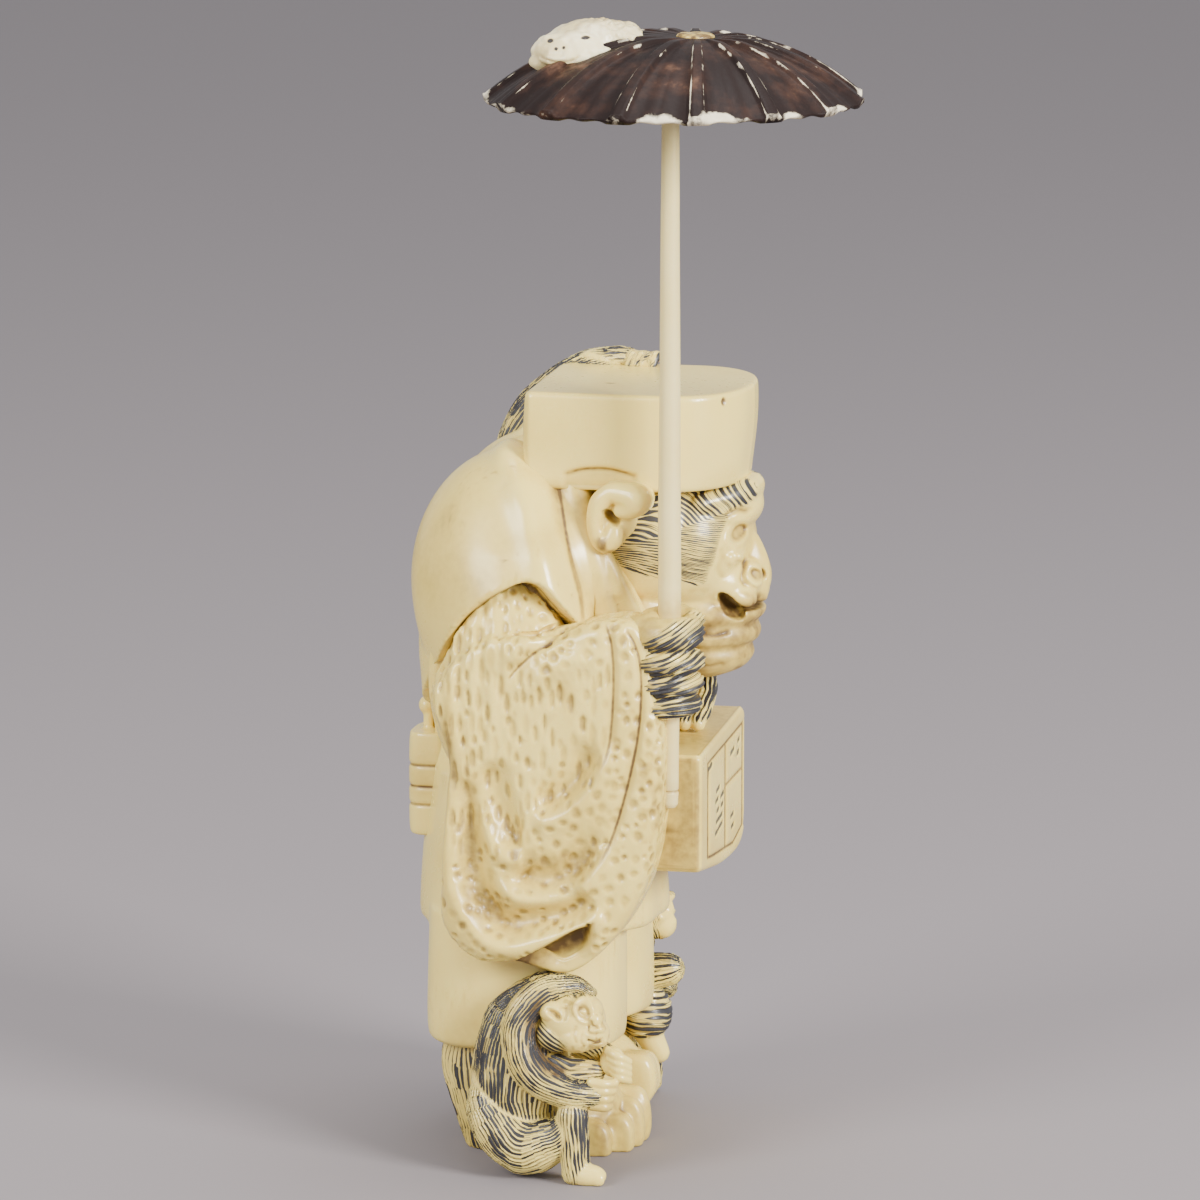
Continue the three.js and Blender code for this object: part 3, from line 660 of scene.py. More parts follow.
def sleeve(name, outer_y, share, mirror, cuff_x, most):
    forms = bmesh.new()
    add_ball(forms, (-4.3, -19.3, 71), (11, 6.8, 17.6), (0, -4, 0))
    add_limb(
        forms, [(-4.6, -20.5, 67, 6), (4, -22.4, 74.6, 5.6), (12, -22.6, 77.4, 4.7), (17.4, -22, 77.6, 4)],
    )
    edge = [(min(x, cuff_x), 0, SHOULDER_Z - (SHOULDER_Z - z) * share) for x, z in smooth_loop(SLEEVE_EDGE)]
    add_plate(forms, edge, 16, outer_y - 16, (0, -1, 0), 2.4)
    mesh = carve(name, forms, grain=0.28, softening=6)
    points, facing = points_of(mesh)
    flat = points[:, [0, 2]].copy()
    flat[:, 1] = SHOULDER_Z - (SHOULDER_Z - flat[:, 1]) / share
    front = ease(0.15, 0.7, -facing[:, 1])

    lift = np.zeros(len(points))
    groove_dirt_and_valley_shade = np.zeros(len(points))
    # The brown along each fold's cut groove is dirt; the brown in each fold's basin is painted shade in the
    # valley.
    for line, until, groove, valley, crest in (
        (INNER_FOLD, 0.46, 0.5, 1.7, 1.0),
        (BACK_FOLD, 0, 0, 1.6, 0.9),
        (MIDDLE_FOLD, 0.5, 0.6, 1.9, 1.3),
        (OUTER_FOLD, 0, 0, 2.0, 1.1),
    ):
        raised, line_cut, basin = fold(flat, line, until, groove, valley, crest)
        lift += raised
        groove_dirt_and_valley_shade = np.maximum(groove_dirt_and_valley_shade, np.maximum(line_cut * 0.15, basin * 0.2))
    over, run = from_line(flat, smooth_line(ARM_CREASE))
    crease = bell(over, 0.7) * ease(1, 0.6, run)
    shelf = np.exp(-(np.minimum(over + 1.6, 0) ** 2) / 14) * ease(0.2, -1.6, over) * ease(1, 0.4, run)
    lift += 1.1 * shelf - 0.5 * crease
    # The sleeve's hem turns in below a crisp edge and leaves a soft hollow.
    hem, run = from_line(flat, smooth_line(HEM_EDGE))
    turned_in = ease(0.1, -0.7, hem) * ease(11.4, 8.4, flat[:, 0]) * bell(np.minimum(hem, 0), 5.6)
    lift -= 3.6 * turned_in * ease(0, 0.25, run)
    # Cloth above the vest's edge tucks in below it.
    above = from_line(points[:, [0, 2]], VEST_LOWER)[0]
    lift -= 2.8 * ease(-0.1, 0.5, above) * (points[:, 2] > 62) * ease(5.4, 3.4, points[:, 0])
    # Long soft gathers down the upper arm.
    gathers = (
        np.sin(flat[:, 0] * 2.1 + 0.06 * flat[:, 1]) * ease(-1, -4, flat[:, 0]) * ease(60, 66, flat[:, 1])
    )
    lift += 0.14 * gathers
    raise_by(points, facing, lift * front)

    folds = [smooth_line(line, 4) for line in (INNER_FOLD, MIDDLE_FOLD, OUTER_FOLD)]
    inner, middle, outer = (from_line(flat, line)[0] for line in folds)
    tall = (inner < 0.5) & (flat[:, 1] < 75) | (flat[:, 0] < 1.5) & (flat[:, 1] > 48)
    allowed = (facing[:, 1] < 0.2) & (np.abs(middle - 0.4) > 0.9) & (np.abs(inner - 0.3) > 0.7)
    allowed &= (np.abs(outer - 0.4) > 0.9) & (hem + 4 * (flat[:, 0] > 11) > -0.4)
    allowed &= points[:, 1] < -outer_y + 6.5
    pits = press_pits(points, allowed, tall, 11)
    cut_by(points, facing, 0.4 * pits)
    chips = ease(0.55, 0.8, mottle(points, 0.7, 5)) * bell(middle + 0.9, 0.7) * (flat[:, 1] < 50)
    cut_by(points, facing, 0.3 * chips)
    rows = (
        ease(0.4, 0.75, mottle(points, 1.1, 8)) * ease(16.6, 18.6, flat[:, 0]) * ease(66, 60, flat[:, 1])
        * (flat[:, 1] > 50)
    )
    stains = np.zeros(len(points))
    for spot, half, strength in (
        ((4.1, 46.4), (4.6, 2.2), 0.5), ((-4.6, 39.4), (4, 3.4), 0.42), ((-10.8, 63.5), (0.7, 7), 0.5),
        ((7.1, 70.7), (0.9, 2.4), 0.4), ((-7.6, 53), (1.2, 6), 0.25), ((8.6, 48), (3, 3), 0.25),
    ):
        far = (((flat - spot) / half) ** 2).sum(axis=1)
        stains = np.maximum(
            stains, strength * np.exp(-far) * (0.35 + 0.9 * mottle(points * (1, 1, 0.5), 0.8, 19)),
        )
    points, facing = move_points(mesh, points)
    seam, groove = seams_of(
        flat,
        [
            (folds[0], 0.5, 0.55),
            (folds[1], 0.62, 0.56),
            (smooth_line(ARM_CREASE, 4), 0.5, 0.9),
        ],
        front,
    )
    patina = 0.4 * patina_of(mesh, points, facing, 4) + groove_dirt_and_valley_shade * front + stains * front
    own = 0.5 + 0.7 * mottle(points, 2.4, 15)
    patina += 0.46 * pits * own + 0.3 * rows + 0.06 + 0.08 * ease(0.5, 0.8, mottle(points, 5, 16))
    # Painted shade darkens the hollow under the turned-in hem, most near its edge.
    patina = (
        np.minimum(patina, 0.62)
        + 1.2 * turned_in * np.exp(np.minimum(hem, 0) / 3.4) * (0.75 + 0.5 * mottle(points, 1.2, 17))
    )
    if mirror:
        points[:, 1] *= -1
        move_points(mesh, points)
        mesh.flip_normals()
    paint(mesh, patina, seam=seam, groove=groove)
    finish(name, mesh, IVORY, most=most)


sleeve("right_sleeve", outer_y=27, share=1, mirror=False, cuff_x=20.7, most=112000)
sleeve("left_sleeve", outer_y=25.4, share=0.86, mirror=True, cuff_x=17.6, most=40000)

# ---------------------------------------------------------------- case and cord
# A tiered case hangs from a knotted cord under the sash at the back. It is part of the same carving,
# with a cut groove between each two tiers.

CASE_X, CASE_Y, CASE_BOTTOM, CASE_TOP = -17.8, -5.2, 46.0, 61.4
TIER_LINES = (50.7, 53.4, 56.6)
forms = bmesh.new()
add_stack(
    forms,
    [
        (CASE_BOTTOM, CASE_X, CASE_Y, 2.6, 4.2),
        (CASE_BOTTOM + 0.8, CASE_X, CASE_Y, 3.3, 4.9),
        (52, CASE_X, CASE_Y, 3.4, 5),
        (CASE_TOP - 0.8, CASE_X, CASE_Y, 3.3, 4.9),
        (CASE_TOP, CASE_X, CASE_Y, 2.6, 4.2),
    ],
    square=3.4,
)
add_limb(forms, [(-18.7, -5, 60, 1), (-18.4, -4.4, 64, 0.9), (-17.6, -5, 69.4, 1)])
add_limb(forms, [(-18.5, -6.2, 60, 0.8), (-18.6, -5.6, 64, 0.8), (-17.7, -4.6, 69.4, 0.9)])
add_ball(forms, (-18.9, -5.1, 64.8), (1.3, 1.7, 1.4))
case = carve("case_and_cord", forms, grain=0.26, softening=3)
points, facing = points_of(case)
tier_gap = np.min([np.abs(points[:, 2] - z) for z in TIER_LINES], axis=0)
cut_by(points, facing, 0.22 * bell(tier_gap, 0.35))
move_points(case, points)
patina = patina_of(case, points, facing, 21, 1.2)
paint(case, patina, seam=tier_gap, groove=0.6 * ease(1.4, 0.7, tier_gap))
finish("case_and_cord", case, IVORY, most=14000)

# ---------------------------------------------------------------- hat
# The flat-topped hat is left plain, with a bright polished edge round its top and straight-grained
# sides. It is straight across the back and rounds off towards the front.


def tapered(share, by):
    """1 along a line's middle, easing to 0 over this share of it at each end."""
    return ease(0, by, share) * ease(1, 1 - by, share)


HAT_BACK, HAT_FRONT, HAT_HALF_WIDTH = -2.0, 29.0, 15.3
HAT_BOTTOM, HAT_TOP = 99.4, 113.6
w = HAT_HALF_WIDTH
near_side = smooth_line(
    [(14, -w), (19.6, -w + 0.1), (23.6, -w + 1.7), (26.6, -w + 5), (28.4, -w + 9.6), (HAT_FRONT, 0)], 6
)
outline = [(HAT_BACK, -w + 0.7), (HAT_BACK + 0.7, -w), (6, -w), *[tuple(p) for p in near_side]]
outline += [(x, -y) for x, y in near_side[-2::-1]]
outline += [(HAT_BACK + 3, w), (HAT_BACK + 0.2, w - 1.2), (HAT_BACK - 0.6, w - 4)]
forms = bmesh.new()
add_plate(forms, [(x, y, 0) for x, y in outline], HAT_BOTTOM, HAT_TOP - HAT_BOTTOM, (0, 0, 1), 0.6)
hat = carve("hat", forms, grain=0.3, softening=3)
points, facing = points_of(hat)
level = ease(0.9, 0.1, np.abs(facing[:, 2]))
belly = 0.35 * np.sin(np.pi * np.clip((points[:, 2] - HAT_BOTTOM) / (HAT_TOP - HAT_BOTTOM), 0, 1)) * level
dip = (
    -0.15 * ease(0.8, 1, facing[:, 2]) * (1 - ((points[:, 0] - 13) / 17) ** 2)
    * (1 - (points[:, 1] / 16) ** 2)
)
raise_by(points, facing, belly + dip)
points[:, 0] -= ease(HAT_TOP, HAT_BOTTOM, points[:, 2]) * ease(10, 26, points[:, 0]) * 0.9
# A ledge is cut on the near side above the ear; the brown along its line is painted shadow under the hat's
# edge as well as dirt in the cut.
ledge, share = from_line(
    points[:, [0, 2]], smooth_line([(4.6, 102), (7, 102.6), (10.6, 102.7), (14.4, 101.9)]),
)
ledge_cut = bell(ledge, 0.35) * (points[:, 1] < 0) * level
cut_by(points, facing, 0.3 * ledge_cut)
under = (
    ease(0.2, -0.4, ledge) * ease(15, 14, points[:, 0]) * ease(3.4, 4.4, points[:, 0]) * (points[:, 1] < 0)
    * level
)
cut_by(points, facing, 0.5 * under)
nick = dent(points, facing, (26.6, -11.4, 112.4), (0.32, 1.2, 0.75), depth=0.35)
mark = dent(points, facing, (8.4, -4, 113.3), (0.8, 0.5, 0.5), depth=0.05)
points, facing = move_points(hat, points)
patina = 0.5 * patina_of(hat, points, facing, 31) + 0.12 * ease(0.7, 1, facing[:, 2])
patina += 1.6 * nick + 0.5 * mark + 0.2 * ledge_cut + 0.1 * under
# Painted shade darkens the hat's lower near side where it meets the robe.
patina += 0.3 * ease(101.6, 99.6, points[:, 2]) * ease(14, 10, points[:, 0]) * (points[:, 1] < 0)
ledge_shadow_and_dirt = 0.45 * ease(1.4, 0.7, np.abs(ledge)) * tapered(share, 0.15) * (points[:, 1] < 0)
paint(hat, patina, seam=ledge, groove=ledge_shadow_and_dirt * level)
finish("hat", hat, IVORY, most=26000)

# ---------------------------------------------------------------- head
# The monkey's head has a smooth bare face with an open mouth and rolls of chin. Fine lines cut with a
# graver and rubbed with ink are the hair of its cheeks and brow.


def oval(flat, centre, half, tilt):
    """Distance from an oval's centre in its own half sizes, the long side tilted from level."""
    c, s = math.cos(math.radians(tilt)), math.sin(math.radians(tilt))
    off = flat - np.array(centre)
    return np.hypot((off[:, 0] * c + off[:, 1] * s) / half[0], (off[:, 1] * c - off[:, 0] * s) / half[1])


forms = bmesh.new()
add_ball(forms, (13.4, 0, 91.5), (13.4, 15, 12.6), finish=5)
add_ball(forms, (19.2, 0, 90.4), (9.9, 12.9, 12), finish=5)
add_ball(forms, (23.6, 0, 95.6), (6.7, 9.6, 4.6), finish=4)
add_ball(forms, (24.2, 0, 85.2), (6.9, 8.6, 5.2), (0, 30, 0))
add_ball(forms, (11.5, 0, 79), (11, 12.6, 9.5))
add_ball(forms, (19, 0, 81), (8.6, 9.8, 7))
add_stack(
    forms,
    [
        (70.4, 18.4, 0, 6.4, 5.6),
        (71.6, 19.2, 0, 8.4, 7.2),
        (73.4, 19.9, 0, 9.1, 8),
        (74.7, 20.2, 0, 8.5, 7.8),
        (75.2, 20.4, 0, 8.3, 7.8),
        (75.8, 20.7, 0, 8.9, 8.4),
        (77, 21, 0, 9, 8.6),
        (78.2, 21.3, 0, 8.2, 8.2),
        (78.6, 21.4, 0, 8.2, 8.2),
        (79.6, 21.7, 0, 8.9, 8.6),
        (81, 21.8, 0, 8.6, 8.3),
        (82.6, 20.6, 0, 6.8, 7),
    ],
    square=2.1,
)
add_limb(
    forms,
    [
        (23, -9.4, 97, 1.6), (27.4, -4.8, 97.8, 2.1), (28.2, 0, 98, 2), (27.4, 4.8, 97.8, 2.1),
        (23, 9.4, 97, 1.6),
    ],
    10,
)
add_limb(
    forms,
    [(26, 0, 95, 1.6), (26.7, 0, 92.4, 1.7), (28.2, 0, 89, 2.3), (29, 0, 85.6, 2.7), (28.8, 0, 83, 2.6)],
)
for side in (-1, 1):
    add_ball(forms, (28.3, side * 3.1, 85.4), (2.7, 2.4, 2.8))
    add_ball(forms, (27, side * 4.4, 83.4), (3.6, 3.2, 1.9), (0, 26, 0))
    add_ball(forms, (26.2, side * 6, 89), (2.4, 2.8, 1.6))
cuts = bmesh.new()
for side in (-1, 1):
    add_ball(cuts, (27, side * 7.4, 81.5), (2.9, 4.4, 1.15), (0, 52, 0))
add_ball(cuts, (30.4, 0, 80.9), (3.6, 8, 0.45), (0, 8, 0))
head = carve("head", forms, grain=0.26, softening=5, cuts=cuts)
points, facing = points_of(head)
flat = points[:, [0, 2]].copy()
near = ease(2, 4.5, np.abs(points[:, 1]))
outside = np.sign(points[:, 1])

# Eye pits with a raised lid round them, nostrils, and the hollow under the brow.
eye = oval(flat, (27.9, 92.3), (0.95, 1.5), -12)
nostril = oval(flat, (30.3, 85.9), (1.35, 0.75), -52)
eye_pit = ease(1.05, 0.55, eye) * near
nostril_pit = ease(1.1, 0.5, nostril) * ease(1, 2, np.abs(points[:, 1]))
lid = bell(eye - 1.35, 0.25) * near
wing = bell(nostril - 1.5, 0.3) * near * (flat[:, 0] < 30.6)
points[:, 1] -= outside * (1.0 * eye_pit + 0.9 * nostril_pit - 0.25 * lid - 0.3 * wing)
points[:, 0] -= 0.35 * eye_pit + 0.3 * nostril_pit
creases = np.zeros(len(points))
for line, width, depth in (
    ([(26.4, 94.9), (27.3, 95.6), (28.4, 95.9), (29.6, 95.1)], 0.5, 0.55),
    ([(28.4, 88.6), (28.6, 87), (28.5, 85.6), (29.2, 84.2)], 0.35, 0.4),
    ([(25.9, 91), (26.2, 89.2), (25.6, 87.2), (26.2, 85.6)], 0.4, 0.18),
    ([(29.4, 91.4), (30, 90.2)], 0.3, 0.25),
    ([(21.4, 77.9), (24.4, 77.4), (27, 77.9)], 0.35, 0.3),
    ([(20.6, 73.2), (23.6, 72.6), (26, 73)], 0.3, 0.22),
):
    off, share = from_line(flat, smooth_line(line))
    cut = bell(off, width) * near * tapered(share, 0.15)
    cut_by(points, facing, depth * cut)
    creases = np.maximum(creases, cut * min(1, depth * 2.2))
wrinkled = np.exp(-(((flat - (27.6, 89)) ** 2).sum(axis=1) / 2.6)) * near
raise_by(points, facing, (mottle(points, 0.9, 9) - 0.4) * 0.8 * wrinkled)

# Hair lines fan from behind the ear to the brow and cheek, and bend down at the face's edge.
FACE_EDGE = smooth_line(
    [
        (31.4, 98.6), (29.9, 97), (28, 96), (26.5, 94.6), (25.9, 92.4), (25.2, 89.4), (24.2, 86.6),
        (23.2, 84.8),
    ]
)
CHEEK_EDGE = smooth_line(
    [(25, 84.9), (22.4, 85.4), (20.6, 86), (17.3, 86.6), (14, 87.4), (11.6, 88.8), (10, 90.2)]
)
bare = from_line(flat, FACE_EDGE)[0]
below = from_line(flat, CHEEK_EDGE)[0]
start = (7.5, 89.8)
reach = np.hypot(flat[:, 0] - start[0], flat[:, 1] - start[1])
angle = np.arctan2(flat[:, 1] - start[1], flat[:, 0] - start[0])
sweep = np.interp(angle, [-0.25, -0.03, 0.3, 0.6], [0.008, 0.037, 0.067, 0.057])
strand = (angle + sweep * reach) / 0.088 + 0.5 * (mottle(points, 3, 14) - 0.5)
ragged = 0.5 * (mottle(points, 1.1, 15) - 0.5)
strand = np.where(flat[:, 0] > 19.2, 2 * strand, strand)
furry = (
    ease(0.2, -0.5, bare + ragged) * ease(0.2, -0.4, below + ragged) * near * ease(0.5, 1.5, reach)
    * (flat[:, 0] > 9)
)
smear = blot(flat, (23.4, 98), (7, 3))
low_row = blot(flat, (14.4, 88.4), (12, 1.6))
ink = furry * (0.8 + 0.5 * mottle(points, 4, 22) + 0.3 * smear + 0.5 * low_row)
tuft = ease(0.1, 0.5, bare) * ease(97.6, 98.4, flat[:, 1]) * (flat[:, 0] > 26.5) * near
strand = np.where(tuft > 0.1, (flat[:, 0] * 0.9 + flat[:, 1] * 0.43) / 0.56, strand)
ink = np.maximum(ink, 0.75 * tuft)
points, facing = move_points(head, points)
patina = patina_of(head, points, facing, 6)
# Painted shade darkens the inside of the open mouth, most on the faces that turn inwards.
painted_mouth_shade = (
    ease(1.2, 0.85, np.linalg.norm((points - (27.2, 0, 82)) / (3.3, 12, 2.2), axis=1))
    * (facing[:, 1] * outside > -0.5)
)
painted_mouth_shade *= (np.abs(points[:, 1]) < 7.6) | (facing[:, 2] * outside < 0.2)
patina += (
    0.5 * ease(85, 79, flat[:, 1]) * (0.7 + 0.6 * mottle(points, 2.2, 26))
    + 0.75 * painted_mouth_shade * ease(0.9, 0.2, -facing[:, 1] * -outside) + 0.5 * creases
)
patina += (
    0.3 * eye_pit + 0.35 * nostril_pit
    + 0.22 * ease(0.62, 0.85, mottle(points, 1.6, 25)) * ease(86, 84, flat[:, 1])
)
patina = np.where(furry > 0.3, np.minimum(patina, 0.3), patina)
paint(head, patina, strand=strand, ink=ink, along=reach)
finish("head", head, IVORY, most=104000)

# ---------------------------------------------------------------- ears
# Each ear is a thick curl like a shell, from a round knob at the top to a smaller lobe below, with a
# deep hollow inside. They are left bare and polished, and brown lies round the lobe.

EAR_CURL = [
    (12.7, 97, 1.1), (14, 97.4, 1.6), (15.2, 98.7, 2.3), (13.4, 99.4, 1.9), (11.2, 99.5, 1.55),
    (9.5, 97.9, 1.5), (8.95, 95.4, 1.3), (9.3, 93.3, 1.35), (10.4, 92.2, 1.6), (11.5, 92.9, 1.65),
    (11.8, 94, 1.3),
]
for name, side in (("right_ear", -1), ("left_ear", 1)):
    forms = bmesh.new()
    add_limb(forms, [(x, side * 17.4, z, r) for x, z, r in EAR_CURL])
    add_limb(forms, [(x, side * 15.6, z, r) for x, z, r in EAR_CURL])
    add_ball(forms, (11.6, side * 15.4, 95.6), (3.2, 1.9, 3.4))
    add_ball(forms, (11.2, side * 16.3, 94.6), (1.7, 1.3, 2.4))
    hollow = bmesh.new()
    add_ball(hollow, (11.4, side * 17.9, 96), (1.7, 2.3, 0.7), (0, 42, 0))
    ear = carve(name, forms, grain=0.2, softening=5, cuts=hollow)
    points, facing = points_of(ear)
    patina = 0.8 * patina_of(ear, points, facing, 35)
    # Painted shade darkens the deep hollow inside the curl.
    deep = np.linalg.norm((points - (11.5, side * 16.3, 96)) / (1.9, 2, 1.5), axis=1)
    lobe = np.hypot(points[:, 0] - 10.6, points[:, 2] - 92.4)
    patina += (
        0.55 * ease(1.1, 0.6, deep)
        + 0.55 * ease(3, 1.2, lobe) * ease(0.4, 0.7, mottle(points, 1.3, 36)) * (facing[:, 2] < 0.3)
    )
    paint(ear, patina)
    finish(name, ear, IVORY, most=12000)

# ---------------------------------------------------------------- right hand
# The near hand closes round the pole, one finger above the other. Its fur is cut in bold slanting
# strokes, and the thumb at the top is left bare.

forms = bmesh.new()
for z, half_z, reach, wide in (
    (80.3, 2.7, 3.1, 2.5), (76.2, 1.75, 3.6, 2.1), (73, 1.7, 3.4, 2.1), (69.8, 1.7, 3.1, 2.05),
):
    for turn in range(150, 400, 10):
        a = math.radians(turn)
        tip = 1 - 0.25 * max(0, (turn - 330) / 70)
        place = (POLE_X + reach * math.cos(a), POLE_Y - 0.5 + reach * math.sin(a), z + 0.002 * (turn - 270))
        add_ball(forms, place, (wide * tip, wide * tip, half_z * tip), finish=2)
add_ball(forms, (POLE_X - 2.4, POLE_Y + 1, 75), (4.4, 4, 7))
add_limb(
    forms,
    [
        (POLE_X - 6.4, POLE_Y - 0.8, 79.6, 2.6), (POLE_X - 3, POLE_Y - 2, 81.3, 1.9),
        (POLE_X - 2.6, POLE_Y + 1.4, 82, 1.7),
    ],
)
add_limb(
    forms,
    [
        (POLE_X - 3, POLE_Y + 1.6, 81.8, 1.8), (POLE_X + 0.6, POLE_Y + 2.8, 82.4, 1.5),
        (POLE_X + 3.4, POLE_Y + 1.8, 81.7, 1.5),
    ],
)
cuts = bmesh.new()
add_ball(cuts, (POLE_X + 1.1, POLE_Y - 0.6, 83), (1.5, 1.7, 1.8))
hand = carve("right_hand", forms, grain=0.21, softening=4, cuts=cuts)
points, facing = points_of(hand)
x, z = points[:, 0] - POLE_X, points[:, 2]
slant = np.interp(z, [68, 71, 74, 77, 80, 83], [0.08, 0.16, 0.26, 0.36, 0.52, 0.62])
bow = 0.05 * (x - 1) ** 2 * np.interp(z, [69, 76], [0.6, -0.4])
strand = (z - slant * (x + 2) + bow) / 0.62 + 0.5 * (mottle(points, 2.6, 41) - 0.5)
THUMB_EDGE = np.array([(-6.0, 76.6), (-2.6, 79.4), (0.4, 81.6), (3.2, 83.4)])
to_thumb = from_line(np.column_stack((x, z)), THUMB_EDGE)[0]
fur = ease(0.4, -0.5, to_thumb) * ease(-5.2, -4.2, x) * ease(-0.5, 0, -facing[:, 1] + 0.5 * facing[:, 0])
fur *= ease(-0.96, -0.8, facing[:, 2]) * ease(0.95, 0.7, facing[:, 2])
cut_by(points, facing, 0.15 * fur * np.cos(2 * np.pi * (strand - 0.5)))
knuckles = (mottle(points, 1.6, 43) - 0.5) * (1 - fur) * 0.5
raise_by(points, facing, knuckles)
points, facing = move_points(hand, points)
patina = patina_of(hand, points, facing, 42) + 0.22 * (1 - fur) * ease(79, 81, points[:, 2])
run = np.hypot(x + 9, points[:, 1] - POLE_Y) * 1.3
paint(hand, patina, strand=strand, ink=fur * (0.9 + 0.6 * mottle(points, 3, 44)), along=run)
finish("right_hand", hand, IVORY, most=42000)

# ---------------------------------------------------------------- peep-show box
# The box at the monkey's chest is cut in the same ivory, with plain polished sides, a sunk border
# round its front, and columns of short level strokes cut with a graver.

BOX_BACK, BOX_FRONT, BOX_NEAR, BOX_FAR = 12.0, 25.0, -19.0, 15.0
BOX_BOTTOM, BOX_TOP = 44.3, 61.8
underside = smooth_line(
    [
        (BOX_NEAR + 0.6, BOX_BOTTOM), (-10, 43.1), (-2, 42.1), (6, 41.7), (11, 42), (BOX_FAR - 0.8, 43.6),
        (BOX_FAR, 46.4),
    ],
    5,
)
outline = [(0, y, z) for y, z in underside]
outline += [(0, BOX_FAR, BOX_TOP - 2.2), (0, BOX_FAR - 0.7, BOX_TOP - 0.7), (0, BOX_FAR - 2.2, BOX_TOP)]
outline += [(0, BOX_NEAR + 0.6, BOX_TOP), (0, BOX_NEAR, BOX_TOP - 0.6), (0, BOX_NEAR, BOX_BOTTOM + 0.6)]
forms = bmesh.new()
add_plate(forms, outline, BOX_BACK, BOX_FRONT - BOX_BACK, (1, 0, 0), 0.9)
box = carve("peep_show_box", forms, grain=0.24, softening=2)
points, facing = points_of(box)
front = ease(0.6, 0.9, facing[:, 0])
y, z = points[:, 1], points[:, 2]
low = BOX_BOTTOM - np.interp(y, [-19, -10, 6, 15], [0, 1.2, 2.6, 1])
inside = np.minimum(
    np.minimum(y + 13.1, BOX_FAR - 1.8 - y) * 0.4, np.minimum(z - low - 1.9, BOX_TOP - 2.6 - z),
)
shelf = np.where(y > 0, z - 53.3, 9)
seam = np.where(
    inside > 0, np.minimum(np.minimum(np.abs(inside), np.abs(y) * 0.4), np.abs(shelf)), np.abs(inside),
)
cut = bell(seam, 0.4) * (inside > -1)
# Rows of plain short strokes stand in the columns, with uneven lengths and gaps.
rng = np.random.default_rng(77)
strokes = np.zeros(len(points))
for column_y, top, bottom in (
    (-6.4, 54, 47.6), (-3.4, 52.6, 48), (10, 57.6, 55.4), (5.4, 57, 55.8), (4.4, 48, 46),
    (-10.8, 58.4, 57.4),
):
    row = top
    while row > bottom:
        middle = column_y + rng.uniform(-0.8, 0.8)
        long = rng.uniform(0.9, 1.8)
        across, run = z - row - 0.12 * (y - middle), y - middle
        strokes = np.maximum(strokes, ease(0.5, 0.16, np.abs(across)) * ease(long + 0.3, long, np.abs(run)))
        row -= rng.uniform(1.3, 1.9)
cut_by(points, facing, 0.25 * np.maximum(cut, strokes) * front)
top_hollow = ease(0.8, 1, facing[:, 2])
cut_by(points, facing, 0.25 * top_hollow)
side = ease(0.6, 0.9, -facing[:, 1])
streak = ease(0.62, 0.85, mottle(points * (1, 1, 0.12), 1.1, 52)) * side
dark_mark = np.zeros(len(points))
for spot, half in (
    ((19.8, 49.8), (1.0, 1.4)), ((21, 47.6), (0.8, 0.8)), ((18.4, 47.4), (0.9, 1)), ((23, 46.6), (0.3, 1)),
):
    dark_mark = np.maximum(dark_mark, ease(1.3, 0.3, oval(points[:, [0, 2]], spot, half, 0)))
dark_mark *= side * (0.3 + mottle(points * (1, 1, 0.5), 0.6, 53))
points[:, 2] += 1.3 * ease(50, BOX_TOP, points[:, 2]) * (points[:, 1] - BOX_NEAR) / (BOX_FAR - BOX_NEAR)
points, facing = move_points(box, points)
patina = (
    patina_of(box, points, facing, 51) + 0.4 * side + 0.3 * streak + 1.2 * dark_mark + 0.22 * top_hollow
)
patina += 0.12 * front * cut
shown = 0.62 * front * ease(1.4, 0.7, seam)
paint(box, patina, engraving=strokes * front, seam=seam, groove=shown)
finish("peep_show_box", box, IVORY, most=46000)

# ---------------------------------------------------------------- left hand
# The far hand rests on the box with its fingers bent over the front edge: lined fur on its back and
# smooth pale fingertips.


def limb_coat(line, front):
    """A furry limb: gap to its skin, turn round it from the front in -0.5..0.5, and run along it."""
    front = np.array(front, float)
    ways = np.gradient(line[:, :3], axis=0)
    lengths = np.linalg.norm(np.diff(line[:, :3], axis=0), axis=1)
    past = np.concatenate(([0], np.cumsum(lengths)))

    def coat(points):
        gap = np.full(len(points), 1e9)
        place = np.zeros(len(points))
        for i, (a, b) in enumerate(zip(line, line[1:])):
            way = (b[:3] - a[:3]) / lengths[i]
            t = np.clip((points - a[:3]) @ way / lengths[i], 0, 1)
            far = np.linalg.norm(points - a[:3] - (t * lengths[i])[:, None] * way, axis=1)
            here = far - (a[3] + t * (b[3] - a[3]))
            closer = here < gap
            gap[closer] = here[closer]
            place[closer] = (i + t)[closer]
        steps = np.arange(len(line))
        axis = np.column_stack([np.interp(place, steps, line[:, k]) for k in range(3)])
        way = np.column_stack([np.interp(place, steps, ways[:, k]) for k in range(3)])
        way /= np.linalg.norm(way, axis=1)[:, None]
        ahead = front - (way @ front)[:, None] * way
        ahead /= np.linalg.norm(ahead, axis=1)[:, None]
        beside = np.cross(way, ahead)
        off = points - axis
        turn = np.arctan2((off * beside).sum(axis=1), (off * ahead).sum(axis=1)) / (2 * np.pi)
        return gap, turn, np.interp(place, steps, past)

    return coat


def furry_limb(forms, coats, stations, hairs, shade=1.0, front=(0, -1, 0), steps=8):
    """A limb with its coat: this many hair lines round it, inked as dark as the shade."""
    line = add_limb(forms, stations, steps)
    coats.append((limb_coat(line[::2], front), hairs, shade))


PARTING = 0.5


